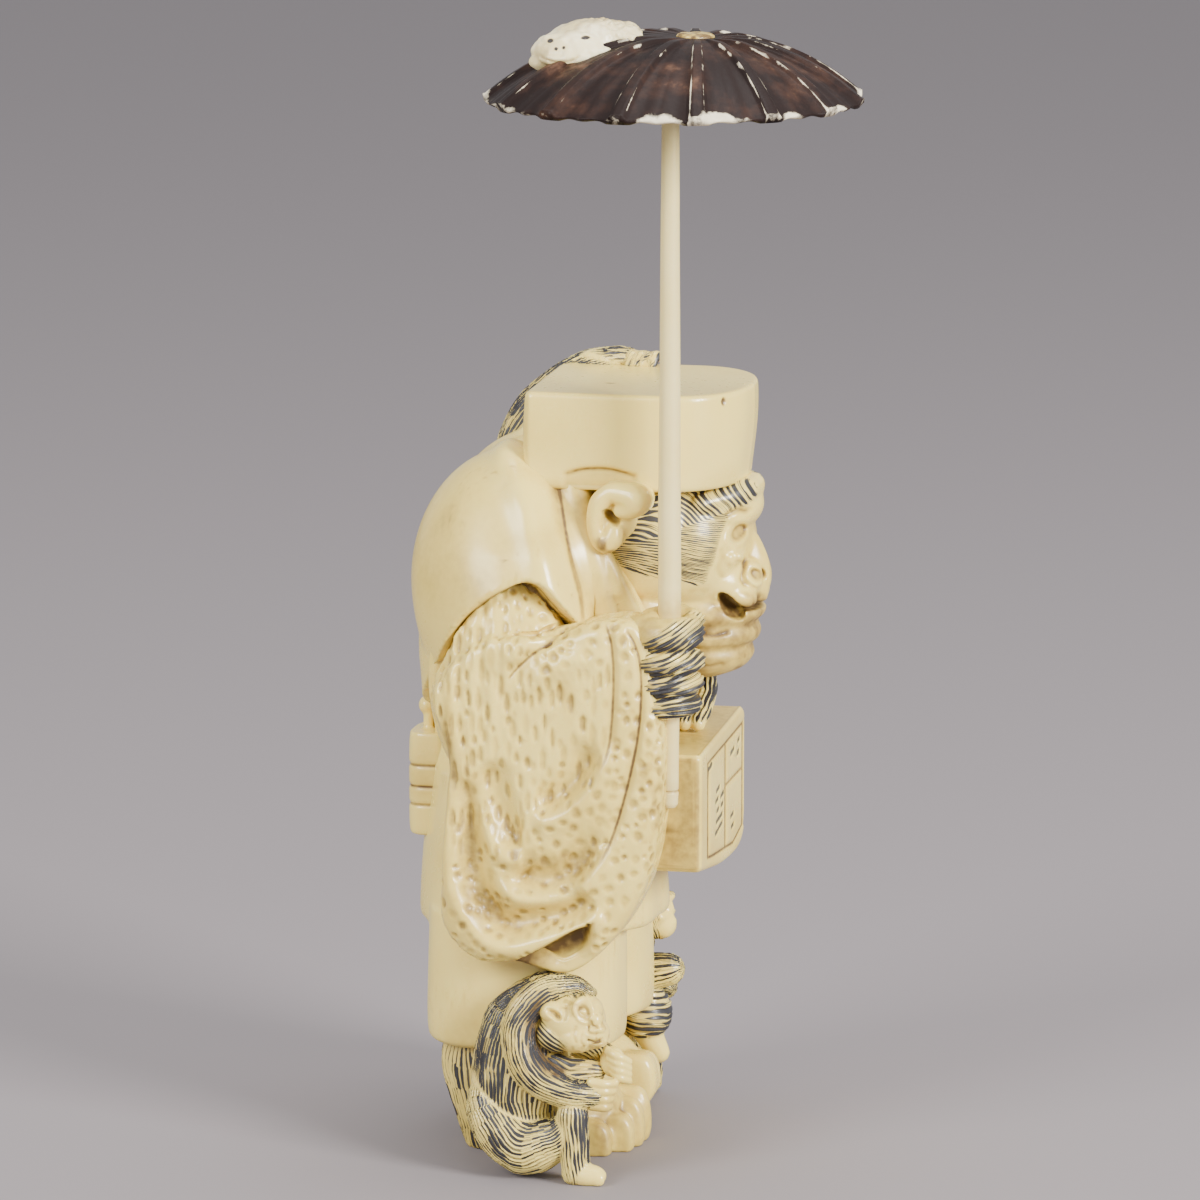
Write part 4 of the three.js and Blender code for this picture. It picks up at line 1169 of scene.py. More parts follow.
def comb(points, coats, seed, wobble):
    """Combs hair over the forms: each point's line, its place along that line, and how furry it is."""
    nearest = np.full(len(points), 1e9)
    second = nearest.copy()
    strand = np.zeros(len(points))
    along = np.zeros(len(points))
    fur = np.zeros(len(points))
    for number, (coat, hairs, shade) in enumerate(coats):
        gap, turn, run = coat(points)
        closer = gap < nearest
        second = np.where(closer, nearest, np.minimum(second, gap))
        nearest = np.where(closer, gap, nearest)
        strand[closer] = (turn * hairs + 97 * number)[closer]
        along[closer] = run[closer]
        fur[closer] = (shade * (np.abs(turn) < 0.497))[closer]
    strand += (
        wobble * (3.2 * (mottle(points, 4.2, seed) - 0.5) + 0.5 * (mottle(points, 1.5, seed + 2) - 0.5))
    )
    fur *= ease(0.05, PARTING, second - nearest)
    return strand, along, fur


def furry_piece(name, mesh, coats, seed, most, bare=None, tint=None, relief=0.12, wobble=0.7):
    """Cuts the hair lines into a carved form and finishes it as a piece of the figure."""
    points, facing = points_of(mesh)
    strand, along, fur = comb(points, coats, seed, wobble)
    if bare is not None:
        fur *= bare(points)
    patina = patina_of(mesh, points, facing, seed)
    if tint is not None:
        patina += tint(points)
    cut_by(points, facing, relief * fur * np.cos(2 * np.pi * (strand - 0.5)))
    move_points(mesh, points)
    ink = np.clip(fur * (0.5 + 1.0 * mottle(points, 4, seed + 1)), 0, 1.3)
    paint(mesh, patina, strand=strand, ink=ink, along=along)
    finish(name, mesh, IVORY, most=most)


forms = bmesh.new()
coats = []
TOWARDS_PALM = (1, -1, 0)
furry_limb(
    forms, coats,
    [(8, 15, 71, 4.2), (14, 10, 69.6, 3.8), (17.4, 7, 67.6, 3)],
    hairs=26, front=TOWARDS_PALM,
)
for i in range(4):
    x = 21.6 - 2 * i
    finger = [
        (x - 0.8, 6.4, 68.4, 1.5), (x, 2.8, 67.6, 1.5), (x + 0.2, -1.2, 65.4, 1.4), (x, -4.2, 63.4, 1.15),
    ]
    furry_limb(forms, coats, finger, hairs=9, shade=1.1, front=TOWARDS_PALM)
hand = carve("left_hand", forms, grain=0.24, softening=3)
furry_piece("left_hand", hand, coats, seed=61, most=22000, bare=lambda p: ease(63.6, 64.4, p[:, 2]))

# ---------------------------------------------------------------- legs and feet
# The monkey's legs come out of the trousers, covered in upright hair lines, on broad bare feet with
# blocky rounded toes. The soles are flat, and the netsuke stands on them.


def ball_coat(centre, half, pole=(0, 0, 1)):
    """A furry ball: its hair parts at a pole and runs down from there."""
    pole = np.array(pole, float) / np.linalg.norm(pole)
    front = np.array((0.13, -1, 0.02)) - np.dot((0.13, -1, 0.02), pole) * pole
    front /= np.linalg.norm(front)
    beside = np.cross(pole, front)

    def coat(points):
        off = points - np.array(centre)
        gap = (np.linalg.norm(off / np.array(half), axis=1) - 1) * min(half)
        turn = np.arctan2(off @ beside, off @ front) / (2 * np.pi)
        length = np.linalg.norm(off, axis=1)
        run = np.arccos(np.clip(off @ pole / np.maximum(length, 1e-6), -1, 1)) * length
        return gap, turn, run

    return coat


def bare_coat(centre, half):
    """A form left without hair."""
    return ball_coat(centre, half), 0, 0.0


forms = bmesh.new()
coats = []
for side, shift in ((-1, 0), (1, -1.5)):
    leg = [
        (-3.4 + shift, side * 9.4, 24, 8), (-6.9 + shift, side * 9.2, 14, 8.9),
        (-5.9 + shift, side * 9, 4, 7.6),
    ]
    furry_limb(forms, coats, leg, hairs=54, shade=1.3, steps=10)
for side, shift, rows in (
    (
        -1, 0,
        (
            (14.5, -3.5, 8.2, -1.5, 1.62), (14.3, -6.9, 7.4, -1.5, 1.62), (13.4, -10.2, 5.7, -1.5, 1.58),
            (10.7, -13.5, 5.2, -1.5, 1.55),
        ),
    ),
    (
        1, -1.5,
        (
            (13.9, 4.2, 11.4, 3.7, 2.5), (13.4, 8.6, 10.6, 3.2, 1.65), (12, 12, 9, 2.4, 1.6),
            (10, 15.2, 7.4, 1, 1.5),
        ),
    ),
):
    add_ball(forms, (-1 + shift, side * 8.4, 7.4), (11, 6.8, 7.6))
    add_ball(forms, (3.4, side * 7.6, 6 + 1.6 * (side > 0)), (7.6, 6.4, 6.6))
    coats.append(bare_coat((1, side * 8.4, 7.4), (11, 6.8, 7.6)))
    for tip, y, top, base, half in rows:
        add_stack(
            forms,
            [
                (base, tip - 4.9, y, 3.6, half - 0.1),
                (base + 0.3 * (top - base), tip - 4.4, y, 4.3, half),
                (base + 0.7 * (top - base), tip - 4.5, y, 4.3, half),
                (base + 0.92 * (top - base), tip - 5, y, 4, half - 0.25),
                (top, tip - 5.4, y, 3.4, half - 0.9),
            ],
            square=4,
            levels=24,
        )
        coats.append(bare_coat((tip - 4.4, y, (base + top) / 2), (4.6, half, (top - base) / 2)))
below = bmesh.new()
bmesh.ops.create_cube(below, size=80, matrix=Matrix.Translation((0, 0, -40)))
feet = carve("legs_and_feet", forms, grain=0.3, softening=3, cuts=below)


def flatten_soles(mesh):
    """Rubs everything below the standing surface flat."""
    points = points_of(mesh)[0]
    points[:, 2] = np.maximum(points[:, 2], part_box("figure")[0][2] / MM)
    move_points(mesh, points)


flatten_soles(feet)
furry_piece(
    "legs_and_feet", feet, coats, seed=71, most=80000,
    bare=lambda p: ease(4.5, 0.5, p[:, 0]),
    tint=lambda p: 0.08 + 0.26 * ease(5, 10, p[:, 0]) * ease(9, 5, p[:, 2]) * (p[:, 1] < 0),
)

# ---------------------------------------------------------------- seated monkey
# A long-haired monkey sits at the right foot with a raised knee and folded arms. Its hair falls like
# a hood from the crown, round the bare face and on down the arm, in deep ink-filled lines.

forms = bmesh.new()
add_ball(forms, (6.8, -24.4, 23), (4.4, 4.2, 4))
coats = [bare_coat((6.8, -24.4, 23), (4.4, 4.2, 4))]
furry_limb(
    forms, coats,
    [
        (-0.6, -23, 6.4, 6), (-0.9, -23.4, 13, 7.3), (-0.2, -22.8, 20.5, 6.6), (3, -22.6, 25, 4.6),
    ],
    hairs=68, shade=1.3, steps=10,
)
furry_limb(
    forms, coats,
    [
        (10, -25, 27.2, 0.9), (7.4, -25.6, 28.1, 1.8), (3.6, -26.8, 27.4, 2.5), (0.3, -27.8, 23.8, 2.6),
        (0.4, -28.8, 19, 2.7), (3.0, -29.6, 15.4, 2.7), (7.4, -29.8, 13.4, 2.4), (11.2, -28.6, 12.9, 2),
    ],
    hairs=30, shade=1.4,
)
furry_limb(
    forms, coats,
    [
        (-5.2, -25.6, 14, 2.4), (-4, -27, 8.6, 4), (0.6, -28, 4.8, 4.4), (5.4, -28.8, 6, 3.2),
        (8, -29.4, 8.6, 2.4),
    ],
    hairs=40, shade=1.3,
)
furry_limb(
    forms, coats,
    [(8.2, -29.8, 10, 2.4), (8.6, -30, 5.6, 2.2), (8.8, -30, 1.6, 2.1)],
    hairs=23, shade=1.4,
)
furry_limb(forms, coats, [(6, -19.5, 19, 2.4), (11, -20.5, 16.6, 2.1), (13.4, -23.8, 16, 1.6)], hairs=20)
furry_limb(
    forms, coats,
    [(3.4, -26.6, 16.8, 2.1), (7.4, -27.2, 15.9, 2.1), (10.6, -26.2, 15.8, 1.8)],
    hairs=18, shade=1.2,
)
add_ball(forms, (10.4, -30.2, 1.3), (3, 1.9, 1.7))
for toe in range(3):
    add_ball(forms, (12.2 - 0.4 * toe, -31.2 + 0.95 * toe, 1), (1.2, 0.62, 1.1), finish=3)
coats.append(bare_coat((11, -30.2, 1.3), (3, 1.9, 1.7)))
cuts = bmesh.new()
bmesh.ops.create_cube(cuts, size=60, matrix=Matrix.Translation((0, -20, -30)))
monkey = carve("seated_monkey", forms, grain=0.24, softening=3, cuts=cuts)
flatten_soles(monkey)
HOOD_EDGE = smooth_line(
    [(9.4, 27.2), (6, 27.9), (3.4, 26.8), (2.4, 24.6), (2.1, 22.2), (2.6, 19.8), (4, 17.8), (6.4, 16.4)],
    4,
)


def under_hood(points):
    off, share = from_line(points[:, [0, 2]], HOOD_EDGE)
    return 0.06 + 0.9 * bell(off, 0.7) * (points[:, 1] < -23) * ease(0.1, 0.4, share)


furry_piece("seated_monkey", monkey, coats, seed=81, most=86000, relief=0.1, tint=under_hood)

# Its bare face turns away under the hood, with a ringed eye, a lined nose and a straight mouth.
forms = bmesh.new()
for centre, half in (
    ((7.4, -25.8, 23.3), (4.9, 4.6, 4.3)),
    ((9.2, -27, 25.2), (3, 3, 2.3)),
    ((11, -27.6, 21.9), (2.3, 2.6, 2.3)),
    ((8.4, -28, 21.4), (3.4, 2.6, 2.4)),
    ((11.5, -28.6, 24), (1, 1.3, 1.4)),
    ((5, -28.6, 25), (1.9, 1.5, 1.6)),
    ((12, -28.8, 22.9), (1, 1.2, 0.8)),
    ((11.8, -28.6, 20.9), (1.4, 1.7, 0.8)),
    ((5.4, -27.6, 21.4), (3, 2.5, 2.6)),
):
    add_ball(forms, centre, half)
face = carve("seated_monkey_head", forms, grain=0.15, softening=5)
points, facing = points_of(face)
flat = points[:, [0, 2]].copy()
near = ease(0.3, -0.2, facing[:, 1])
eye = oval(flat, (9.9, 25.5), (0.72, 0.95), 20)
ear_hollow = oval(flat, (5.5, 25), (1.3, 0.62), -32)
lift = 0.26 * bell(eye - 1.7, 0.34) - 0.6 * ease(1.25, 0.7, eye) - 0.7 * ease(1.2, 0.5, ear_hollow)
lift += 0.22 * bell(eye, 0.6)
dark = 0.35 * bell(eye - 1.0, 0.3) + 0.35 * ease(1.1, 0.4, ear_hollow)
lines = (
    ([(8.2, 24.6), (8.5, 26.3), (9.8, 27.2), (11.2, 27)], 0.34, -0.3),
    ([(10.4, 21.4), (11.4, 21.2), (12.6, 21.5)], 0.22, 0.45),
    ([(11, 24.4), (11.2, 23.5), (12.2, 23.3)], 0.2, 0.3),
    ([(10.6, 23.6), (10.7, 22.6), (12.2, 22.3)], 0.2, 0.28),
    ([(8.9, 23.6), (8.6, 22.2), (9, 20.8)], 0.25, 0.15),
    ([(9.8, 22.4), (9.6, 21.2), (10.2, 20.2)], 0.22, 0.15),
    ([(7, 26.4), (7.3, 25.2), (7.1, 24)], 0.25, 0.22),
)
for line, width, depth in lines:
    off, share = from_line(flat, smooth_line(line, 4))
    cut = bell(off, width) * tapered(share, 0.1)
    lift -= depth * cut
    dark = np.maximum(dark, 1.3 * max(depth, 0) * cut)
raise_by(points, facing, lift * near)
points, facing = move_points(face, points)
from_top, share = from_line(flat, np.array([(2.4, 24.2), (5, 22.6), (8, 20.6)]))
cheek = ease(0.1, -0.3, from_top) * ease(-3.6, -3, from_top) * ease(1, 0.9, share) * near
cheek = np.maximum(cheek, near * ease(27, 27.6, flat[:, 1]))
off, share = from_line(flat, HOOD_EDGE)
patina = 0.8 * patina_of(face, points, facing, 84) + near * dark + 0.1
patina += (
    0.75 * ease(1.3, 0.2, np.abs(off)) * ease(0.1, 0.4, share)
    + 0.3 * ease(0.62, 0.8, mottle(points, 0.7, 85)) * ease(6, 7, flat[:, 0])
)
strand = from_top / 0.62 + 0.4 * mottle(points, 2, 86)
paint(face, patina, strand=strand, ink=1.1 * cheek, along=flat[:, 0])
finish("seated_monkey_head", face, IVORY, most=38000)

# Its hands are clasped on the knee, one above the other, with the fingers parted by fine cuts.
forms = bmesh.new()
add_ball(forms, (11.4, -28.2, 13), (1.9, 1.6, 2.3))
add_ball(forms, (13.4, -26, 17.4), (1.9, 1.6, 2.3))
for i in range(4):
    z = 14.8 - 1.15 * i
    add_limb(
        forms, [(11, -29.4, z + 0.2, 0.8), (12.8, -29.3, z, 0.74), (14.1 - 0.25 * i, -28.2, z - 0.1, 0.66)],
    )
    add_limb(
        forms,
        [
            (12.9 + 0.3 * i, -27.2, 19.3 - 1.05 * i, 0.72), (14.6 + 0.1 * i, -27.7, 18.6 - 1.05 * i, 0.72),
            (15.9, -26.7, 17.7 - 0.95 * i, 0.62),
        ],
    )
hands = carve("seated_monkey_hands", forms, grain=0.15, softening=3)
points, facing = points_of(hands)
paint(hands, 1.3 * patina_of(hands, points, facing, 87) + 0.08)
finish("seated_monkey_hands", hands, IVORY, most=18000)

# ---------------------------------------------------------------- shoulder monkey
# A second monkey clings behind the hat. Its arched back shows above the hat with hair lines along
# it, and one pale hand reaches over the hat's far edge.


def small_head(forms, cuts, centre, r, turn):
    """A small monkey's head that looks turn degrees from +X: bare face, brow, muzzle and ears."""
    place = Matrix.Translation(centre) @ Matrix.Rotation(math.radians(turn), 4, "Z")

    def ball(bm, at, half, tilt=0):
        turned = Euler((0, math.radians(tilt), math.radians(turn)))
        add_ball(bm, place @ Vector(at), half, [math.degrees(a) for a in turned], finish=3)

    ball(forms, (0, 0, 0), (r, 0.92 * r, r))
    ball(forms, (0.62 * r, 0, -0.4 * r), (0.5 * r, 0.52 * r, 0.48 * r))
    ball(forms, (0.98 * r, 0, -0.28 * r), (0.16 * r, 0.2 * r, 0.16 * r))
    ball(forms, (0.86 * r, 0, 0.12 * r), (0.2 * r, 0.13 * r, 0.34 * r))
    for side in (-1, 1):
        ball(forms, (0.72 * r, side * 0.3 * r, 0.46 * r), (0.26 * r, 0.34 * r, 0.15 * r))
        ball(forms, (0.72 * r, side * 0.44 * r, -0.06 * r), (0.22 * r, 0.24 * r, 0.16 * r))
        ball(cuts, (0.98 * r, side * 0.36 * r, 0.2 * r), (0.24 * r, 0.2 * r, 0.17 * r))
        ball(cuts, (1.14 * r, side * 0.1 * r, -0.32 * r), (0.05 * r, 0.05 * r, 0.04 * r))
        ball(forms, (-0.16 * r, side * 0.9 * r, 0.24 * r), (0.28 * r, 0.24 * r, 0.3 * r))
        ball(forms, (-0.1 * r, side * 0.9 * r, -0.04 * r), (0.2 * r, 0.2 * r, 0.24 * r))
        ball(cuts, (0.04 * r, side * 1.12 * r, 0.16 * r), (0.16 * r, 0.16 * r, 0.14 * r))
    ball(cuts, (1.16 * r, 0, -0.58 * r), (0.26 * r, 0.36 * r, 0.035 * r))


def face_mask(centre, r, turn, wide=0.78):
    """0 on the bare face of a small head and 1 on the fur behind it."""
    way = np.array((math.cos(math.radians(turn)), math.sin(math.radians(turn)), -0.12))

    def mask(points):
        off = points - np.array(centre)
        length = np.maximum(np.linalg.norm(off, axis=1), 1e-6)
        facing_face = off @ way / length
        return 1 - ease(wide - 0.16, wide - 0.04, facing_face) * (length < 1.5 * r)

    return mask


HEAD_AT, HEAD_R, HEAD_TURN = (7.6, 20, 105.6), 4.6, 30
forms = bmesh.new()
cuts = bmesh.new()
small_head(forms, cuts, HEAD_AT, HEAD_R, HEAD_TURN)
coats = [(ball_coat(HEAD_AT, (HEAD_R, HEAD_R, HEAD_R), (-0.6, 0.2, 0.8)), 36, 0.9)]
furry_limb(
    forms, coats,
    [
        (-9, 14.2, 94.6, 5), (-6.8, 14.6, 99.6, 6.4), (-3.2, 15.4, 105.2, 6.8), (1.2, 16.2, 109.6, 5.6),
        (5, 16, 112.2, 3.7),
    ],
    hairs=64, steps=10,
)
furry_limb(
    forms, coats,
    [(2, 15.4, 113, 2.6), (6, 14.6, 114.2, 1.9), (9, 14, 114.2, 1.4)],
    hairs=22, shade=1.2,
)
for i in range(4):
    furry_limb(
        forms, coats,
        [
            (8.6 + 1.15 * i, 15.4, 114.6, 0.75), (8.2 + 1.15 * i, 13.4, 115, 0.72),
            (7.8 + 1.15 * i, 12.4, 113.6, 0.65),
        ],
        hairs=3, shade=0.8, front=(0, 0, 1),
    )
furry_limb(forms, coats, [(0, 21, 104, 2.2), (5.4, 23, 100, 1.8), (10, 20, 99, 1.5)], hairs=18)
furry_limb(
    forms, coats,
    [(-8, 18, 96.4, 3.8), (-1.4, 21, 98.4, 3), (0.4, 21.8, 93.4, 2.2)],
    hairs=28, front=(0, 1, 0),
)
furry_limb(forms, coats, [(0.4, 21.8, 92.6, 1.9), (3.8, 20.6, 90.4, 1.5)], hairs=0, shade=0.0)
monkey = carve("shoulder_monkey", forms, grain=0.27, softening=3, cuts=cuts)
furry_piece(
    "shoulder_monkey", monkey, coats, seed=91, most=50000, relief=0.15,
    bare=face_mask(HEAD_AT, HEAD_R, HEAD_TURN),
)

# ---------------------------------------------------------------- perched monkey
# The third monkey perches on the left foot and looks out past the trouser leg, with its knees drawn
# up. It is cut like the others, with bare feet and face.


def level_coat(centre, half, line_gap, tilt=0.0):
    """A furry form whose hair lies in level rows, a set gap apart and tilted from level."""

    def coat(points):
        off = points - np.array(centre)
        gap = (np.linalg.norm(off / np.array(half), axis=1) - 1) * min(half)
        return gap, (off[:, 2] - tilt * off[:, 0]) / (line_gap * 60), off[:, 0]

    return coat


HEAD_AT, HEAD_R, HEAD_TURN = (8.6, 19, 29.6), 4.7, -8
forms = bmesh.new()
cuts = bmesh.new()
small_head(forms, cuts, HEAD_AT, HEAD_R, HEAD_TURN)
coats = [(ball_coat(HEAD_AT, (HEAD_R, HEAD_R, HEAD_R), (-0.5, 0.1, 0.9)), 36, 0.9)]
furry_limb(
    forms, coats,
    [(2, 20.4, 10, 5.2), (2.6, 21.4, 17, 6.2), (5.6, 20.6, 25.4, 4.6)],
    hairs=48, front=(0, 1, 0), steps=10,
)
furry_limb(forms, coats, [(4, 19.4, 17.4, 4), (9, 18.4, 20, 3.1), (12.8, 17.8, 21, 2.5)], hairs=22)
add_ball(forms, (9.2, 18, 14.2), (4, 4, 4.4))
coats.append((level_coat((9.2, 18, 14.2), (4, 4, 4.4), 0.85, -0.12), 60, 1.1))
furry_limb(forms, coats, [(9.8, 18, 10.6, 2.2), (11.3, 18, 8, 1.7)], hairs=0, shade=0.0)
furry_limb(
    forms, coats,
    [(2.4, 26.4, 24, 2.6), (6, 27, 18.4, 2.3), (11, 24.6, 16.6, 1.8)],
    hairs=20, front=(0, 1, 0),
)
furry_limb(
    forms, coats,
    [(1, 24, 8.4, 4), (6.4, 25.6, 9.6, 2.8), (8, 25.4, 5, 2.2), (8.4, 25.2, 1.8, 1.9)],
    hairs=28, front=(0, 1, 0),
)
add_ball(forms, (1.4, 20.6, 5), (6, 6, 6))
coats.append((ball_coat((1.4, 20.6, 5), (6, 6, 6)), 48, 1.0))
bmesh.ops.create_cube(cuts, size=60, matrix=Matrix.Translation((0, 20, -30)))
monkey = carve("perched_monkey", forms, grain=0.28, softening=3, cuts=cuts)
flatten_soles(monkey)
furry_piece(
    "perched_monkey", monkey, coats, seed=101, most=40000, relief=0.15, wobble=0.3,
    bare=face_mask(HEAD_AT, HEAD_R, HEAD_TURN, 0.84),
)

# ---------------------------------------------------------------- parasol pole
# The parasol's pole is a separate turned rod, paler than the figure, with straight lengthwise grain.
# It passes down through the fist, and its rounded foot has a fine ring cut round it.

POLE_FOOT, POLE_TOP = 54.3, 164.75
POLE_RADII = [
    (POLE_FOOT, 0.5), (54.45, 0.95), (54.9, 1.25), (56.6, 1.36), (56.9, 1.2), (57.2, 1.37), (67, 1.42),
    (80, 1.7), (100, 1.62), (130, 1.42), (160, 1.24), (164.7, 1.2),
]


def turn_on_lathe(name, profile, centre_x, centre_y, cuts, steps):
    """A solid turned round an upright line: the profile's rows are (radius, height)."""
    bm = bmesh.new()
    corners = [bm.verts.new((centre_x + radius, centre_y, z)) for radius, z in profile]
    edges = [bm.edges.new(pair) for pair in zip(corners, corners[1:])]
    bmesh.ops.subdivide_edges(bm, edges=edges, cuts=cuts)
    bmesh.ops.spin(
        bm, geom=[*bm.verts, *bm.edges], cent=(centre_x, centre_y, 0), axis=(0, 0, 1), angle=2 * math.pi,
        steps=steps, use_merge=True,
    )
    bmesh.ops.remove_doubles(bm, verts=bm.verts, dist=1e-4)
    bmesh.ops.recalc_face_normals(bm, faces=bm.faces)
    return as_mesh(bm, name)


profile = [(radius, z) for z, radius in [(POLE_FOOT, 0.0), *POLE_RADII, (POLE_TOP, 0.0)]]
pole = turn_on_lathe("parasol_pole_rod", profile, POLE_X, POLE_Y, cuts=5, steps=40)
points, facing = points_of(pole)
wander = 0.12 * np.sin(points[:, 2] * 0.11)
points[:, 0] += wander * (mottle(points * (0.01, 0.01, 1), 14, 7) - 0.5)
ring = bell(points[:, 2] - 56.9, 0.2)
grip = bell(points[:, 2] - 82.2, 1.4)
move_points(pole, points)
paint(pole, 0.08 + 0.5 * ring + 0.5 * grip + 0.25 * ease(157, 163, points[:, 2]))
PALE_IVORY = ivory("pale_pole_ivory", (0.87, 0.745, 0.38, 1), 0.3)
finish("parasol_pole_rod", pole, PALE_IVORY, most=8000, node="parasol_pole", slot="pole_ivory")

# ---------------------------------------------------------------- parasol canopy
# The parasol's top is a thin carved ivory shell with fifteen raised ribs that meet at a small disc.
# It is stained near black and worn to cream along the ribs' edges and the scalloped rim, with painted
# highlight on the rib edges that face the light.

CANOPY_X, CANOPY_Y, RIM_Z, CANOPY_RADIUS = 21.3, -21.0, 157.5, 27.0
RISE, FULLNESS, THICKNESS = 8.9, 2.6, 1.3
RIBS, RIB_HEIGHT, DISC_RADIUS, DISC_SHIFT = 15, 0.62, 2.6, 3.0
# How many steps the shell's mesh has round it and out to the rim on each side.
AROUND, OUTWARD, OUTWARD_BELOW = 480, 92, 12


def dome_height(x, y):
    share = np.minimum(1, np.hypot(x - CANOPY_X, y - CANOPY_Y) / CANOPY_RADIUS)
    return RIM_Z + RISE * (1 - share**FULLNESS)


def canopy_sheet(drop, outward):
    """One side of the shell, wrapped from a flat grid: places, rib coordinate and share outwards."""
    bm = bmesh.new()
    bmesh.ops.create_grid(bm, x_segments=AROUND, y_segments=outward, size=1)
    grid = np.array([v.co for v in bm.verts])
    angle = np.pi * (grid[:, 0] + 1)
    share = (grid[:, 1] + 1) / 2
    rib = angle / (2 * np.pi) * RIBS
    off_rib = np.abs(rib - np.round(rib)) * 2
    reach = CANOPY_RADIUS * (1.01 - 0.024 * ease(0.1, 0.6, off_rib) + 0.008 * ease(0.6, 1, off_rib))
    cos, sin = np.cos(angle), np.sin(angle)
    x = (1 - share) * (CANOPY_X + DISC_SHIFT + DISC_RADIUS * cos) + share * (CANOPY_X + reach * cos)
    y = (1 - share) * (CANOPY_Y + DISC_RADIUS * sin) + share * (CANOPY_Y + reach * sin)
    z = dome_height(x, y)
    radius = np.hypot(x - CANOPY_X, y - CANOPY_Y)
    from_rib = off_rib * np.pi * np.maximum(radius, 3) / RIBS
    half = 0.5 + 0.5 * share
    if drop:
        z -= drop * (1 - 0.4 * share)
        x -= 0.5 * drop * share * cos
        y -= 0.5 * drop * share * sin
    else:
        band = ease(half + 0.28, half - 0.12, from_rib)
        sag = -0.5 * share * (1 - (1 - off_rib) ** 2) * (1 - band)
        z += (
            RIB_HEIGHT * band * np.minimum(1, share * 4) + sag
            + 0.12 * np.sin(off_rib * 9) * share * (1 - band)
        )
    for vert, place in zip(bm.verts, np.column_stack((x, y, z))):
        vert.co = place
    layer = bm.verts.layers.float.new("worn")
    edge_gap = np.abs(from_rib - half)
    # Painted highlight: the cream along each rib's edge is a little stronger on the side that faces the light
    # and towards the right, on top of the wear.
    lit_side_highlight = np.where(rib > np.round(rib), 0.9, 1.0) * ease(0.02, 0.3, share)
    from_rim = (1 - share) * (CANOPY_RADIUS - DISC_RADIUS)
    uneven = mottle(np.column_stack((x, y, 0 * x)), 2.6, 61)
    broken = mottle(np.column_stack((x, y, 0 * x)), 1.3, 62)
    worn = bell(edge_gap, 0.25) * lit_side_highlight * (0.74 + 0.04 * ease(-12, 14, x - CANOPY_X) + 0.44 * broken)
    worn = np.maximum(worn, bell(from_rim, 0.3 + 2.2 * uneven) * (0.5 + 0.74 * uneven))
    worn = np.maximum(worn, (0.75 + 0.4 * uneven) * bell(from_rim, 0.7) * ease(0.4, 0.1, off_rib))
    for vert, value in zip(bm.verts, worn):
        vert[layer] = value
    bmesh.ops.remove_doubles(bm, verts=bm.verts, dist=0.02)
    return bm


top = canopy_sheet(0, OUTWARD)
under = canopy_sheet(THICKNESS, OUTWARD_BELOW)
bmesh.ops.reverse_faces(under, faces=under.faces)
under_mesh = as_mesh(under, "under")
top.from_mesh(under_mesh)
bpy.data.meshes.remove(under_mesh)
open_edges = [edge for edge in top.edges if edge.is_boundary]


def from_middle(vert):
    return (vert.co - Vector((CANOPY_X, CANOPY_Y, 0))).xy.length


HALFWAY = 15
rim = [edge for edge in open_edges if all(from_middle(vert) > HALFWAY for vert in edge.verts)]
bmesh.ops.bridge_loops(top, edges=rim)
hub = [edge for edge in open_edges if all(from_middle(vert) < HALFWAY for vert in edge.verts)]
bmesh.ops.bridge_loops(top, edges=hub)
bmesh.ops.recalc_face_normals(top, faces=top.faces)
canopy = as_mesh(top, "canopy_shell")


def stained_ivory():
    """Near-black stain over ivory, rubbed reddish on the panels and worn through at the edges, with painted
    highlight on the rib edges that face the light.
    """
    material, tree, shader = new_material("stained_ivory")
    place = add_node(tree, "ShaderNodeTexCoord").outputs["Object"]
    rag = noise(place, 420, 5, 0.65)
    cloud = noise(place, 95, 3, 0.6)
    broad = noise(place, 52, 2)
    speck = noise(place, 1700, 2)
    stain = ramp(
        tree,
        times(cloud, plus(rag, 0.45)),
        [
            (0.0, (0.009, 0.005, 0.0045, 1)),
            (0.45, (0.014, 0.0076, 0.0066, 1)),
            (0.62, (0.034, 0.016, 0.011, 1)),
            (0.8, (0.12, 0.06, 0.035, 1)),
        ],
    )
    bare = plus(attribute(tree, "worn"), times(rag, 0.95))
    bare = between(plus(bare, times(broad, 0.9)), 1.79, 1.99)
    ivory_show = mix_colour(tree, speck, (0.62, 0.52, 0.36, 1), (0.84, 0.77, 0.60, 1))
    tree.links.new(mix_colour(tree, bare, stain, ivory_show), shader.inputs["Base Color"])
    tree.links.new(worked("MULTIPLY_ADD", speck, 0.16, 0.4), shader.inputs["Roughness"])
    shader.inputs["IOR"].default_value = 1.45
    shader.inputs["Specular IOR Level"].default_value = 0.14
    add_relief(tree, shader, less(times(rag, 0.35), times(bare, 0.8)), 0.7)
    return material


STAINED = stained_ivory()
finish("canopy_shell", canopy, STAINED, most=90000, node="parasol_canopy", slot="stained_ivory")

# The small cracked disc where the ribs meet is bare ivory, turned and let into the top.
disc_x = CANOPY_X + DISC_SHIFT
disc_z = float(dome_height(disc_x, CANOPY_Y))
profile = [(0, 0.42), (1.6, 0.45), (2.35, 0.4), (2.72, 0.15), (2.86, -0.3), (2.8, -1.1), (0, -1.2)]
profile = [(radius, disc_z + z) for radius, z in profile]
disc = turn_on_lathe("canopy_disc", profile, disc_x, CANOPY_Y, cuts=7, steps=72)
points, facing = points_of(disc)
rough_top = (mottle(points, 0.5, 64) - 0.5) * 0.16 + (mottle(points, 1.2, 65) - 0.5) * 0.2
raise_by(points, facing, rough_top)
move_points(disc, points)
paint(disc, 0.42 + 0.5 * ease(0.4, 0.7, mottle(points, 0.7, 66)))
finish("canopy_disc", disc, IVORY, most=8000, node="parasol_canopy", slot="stained_ivory")

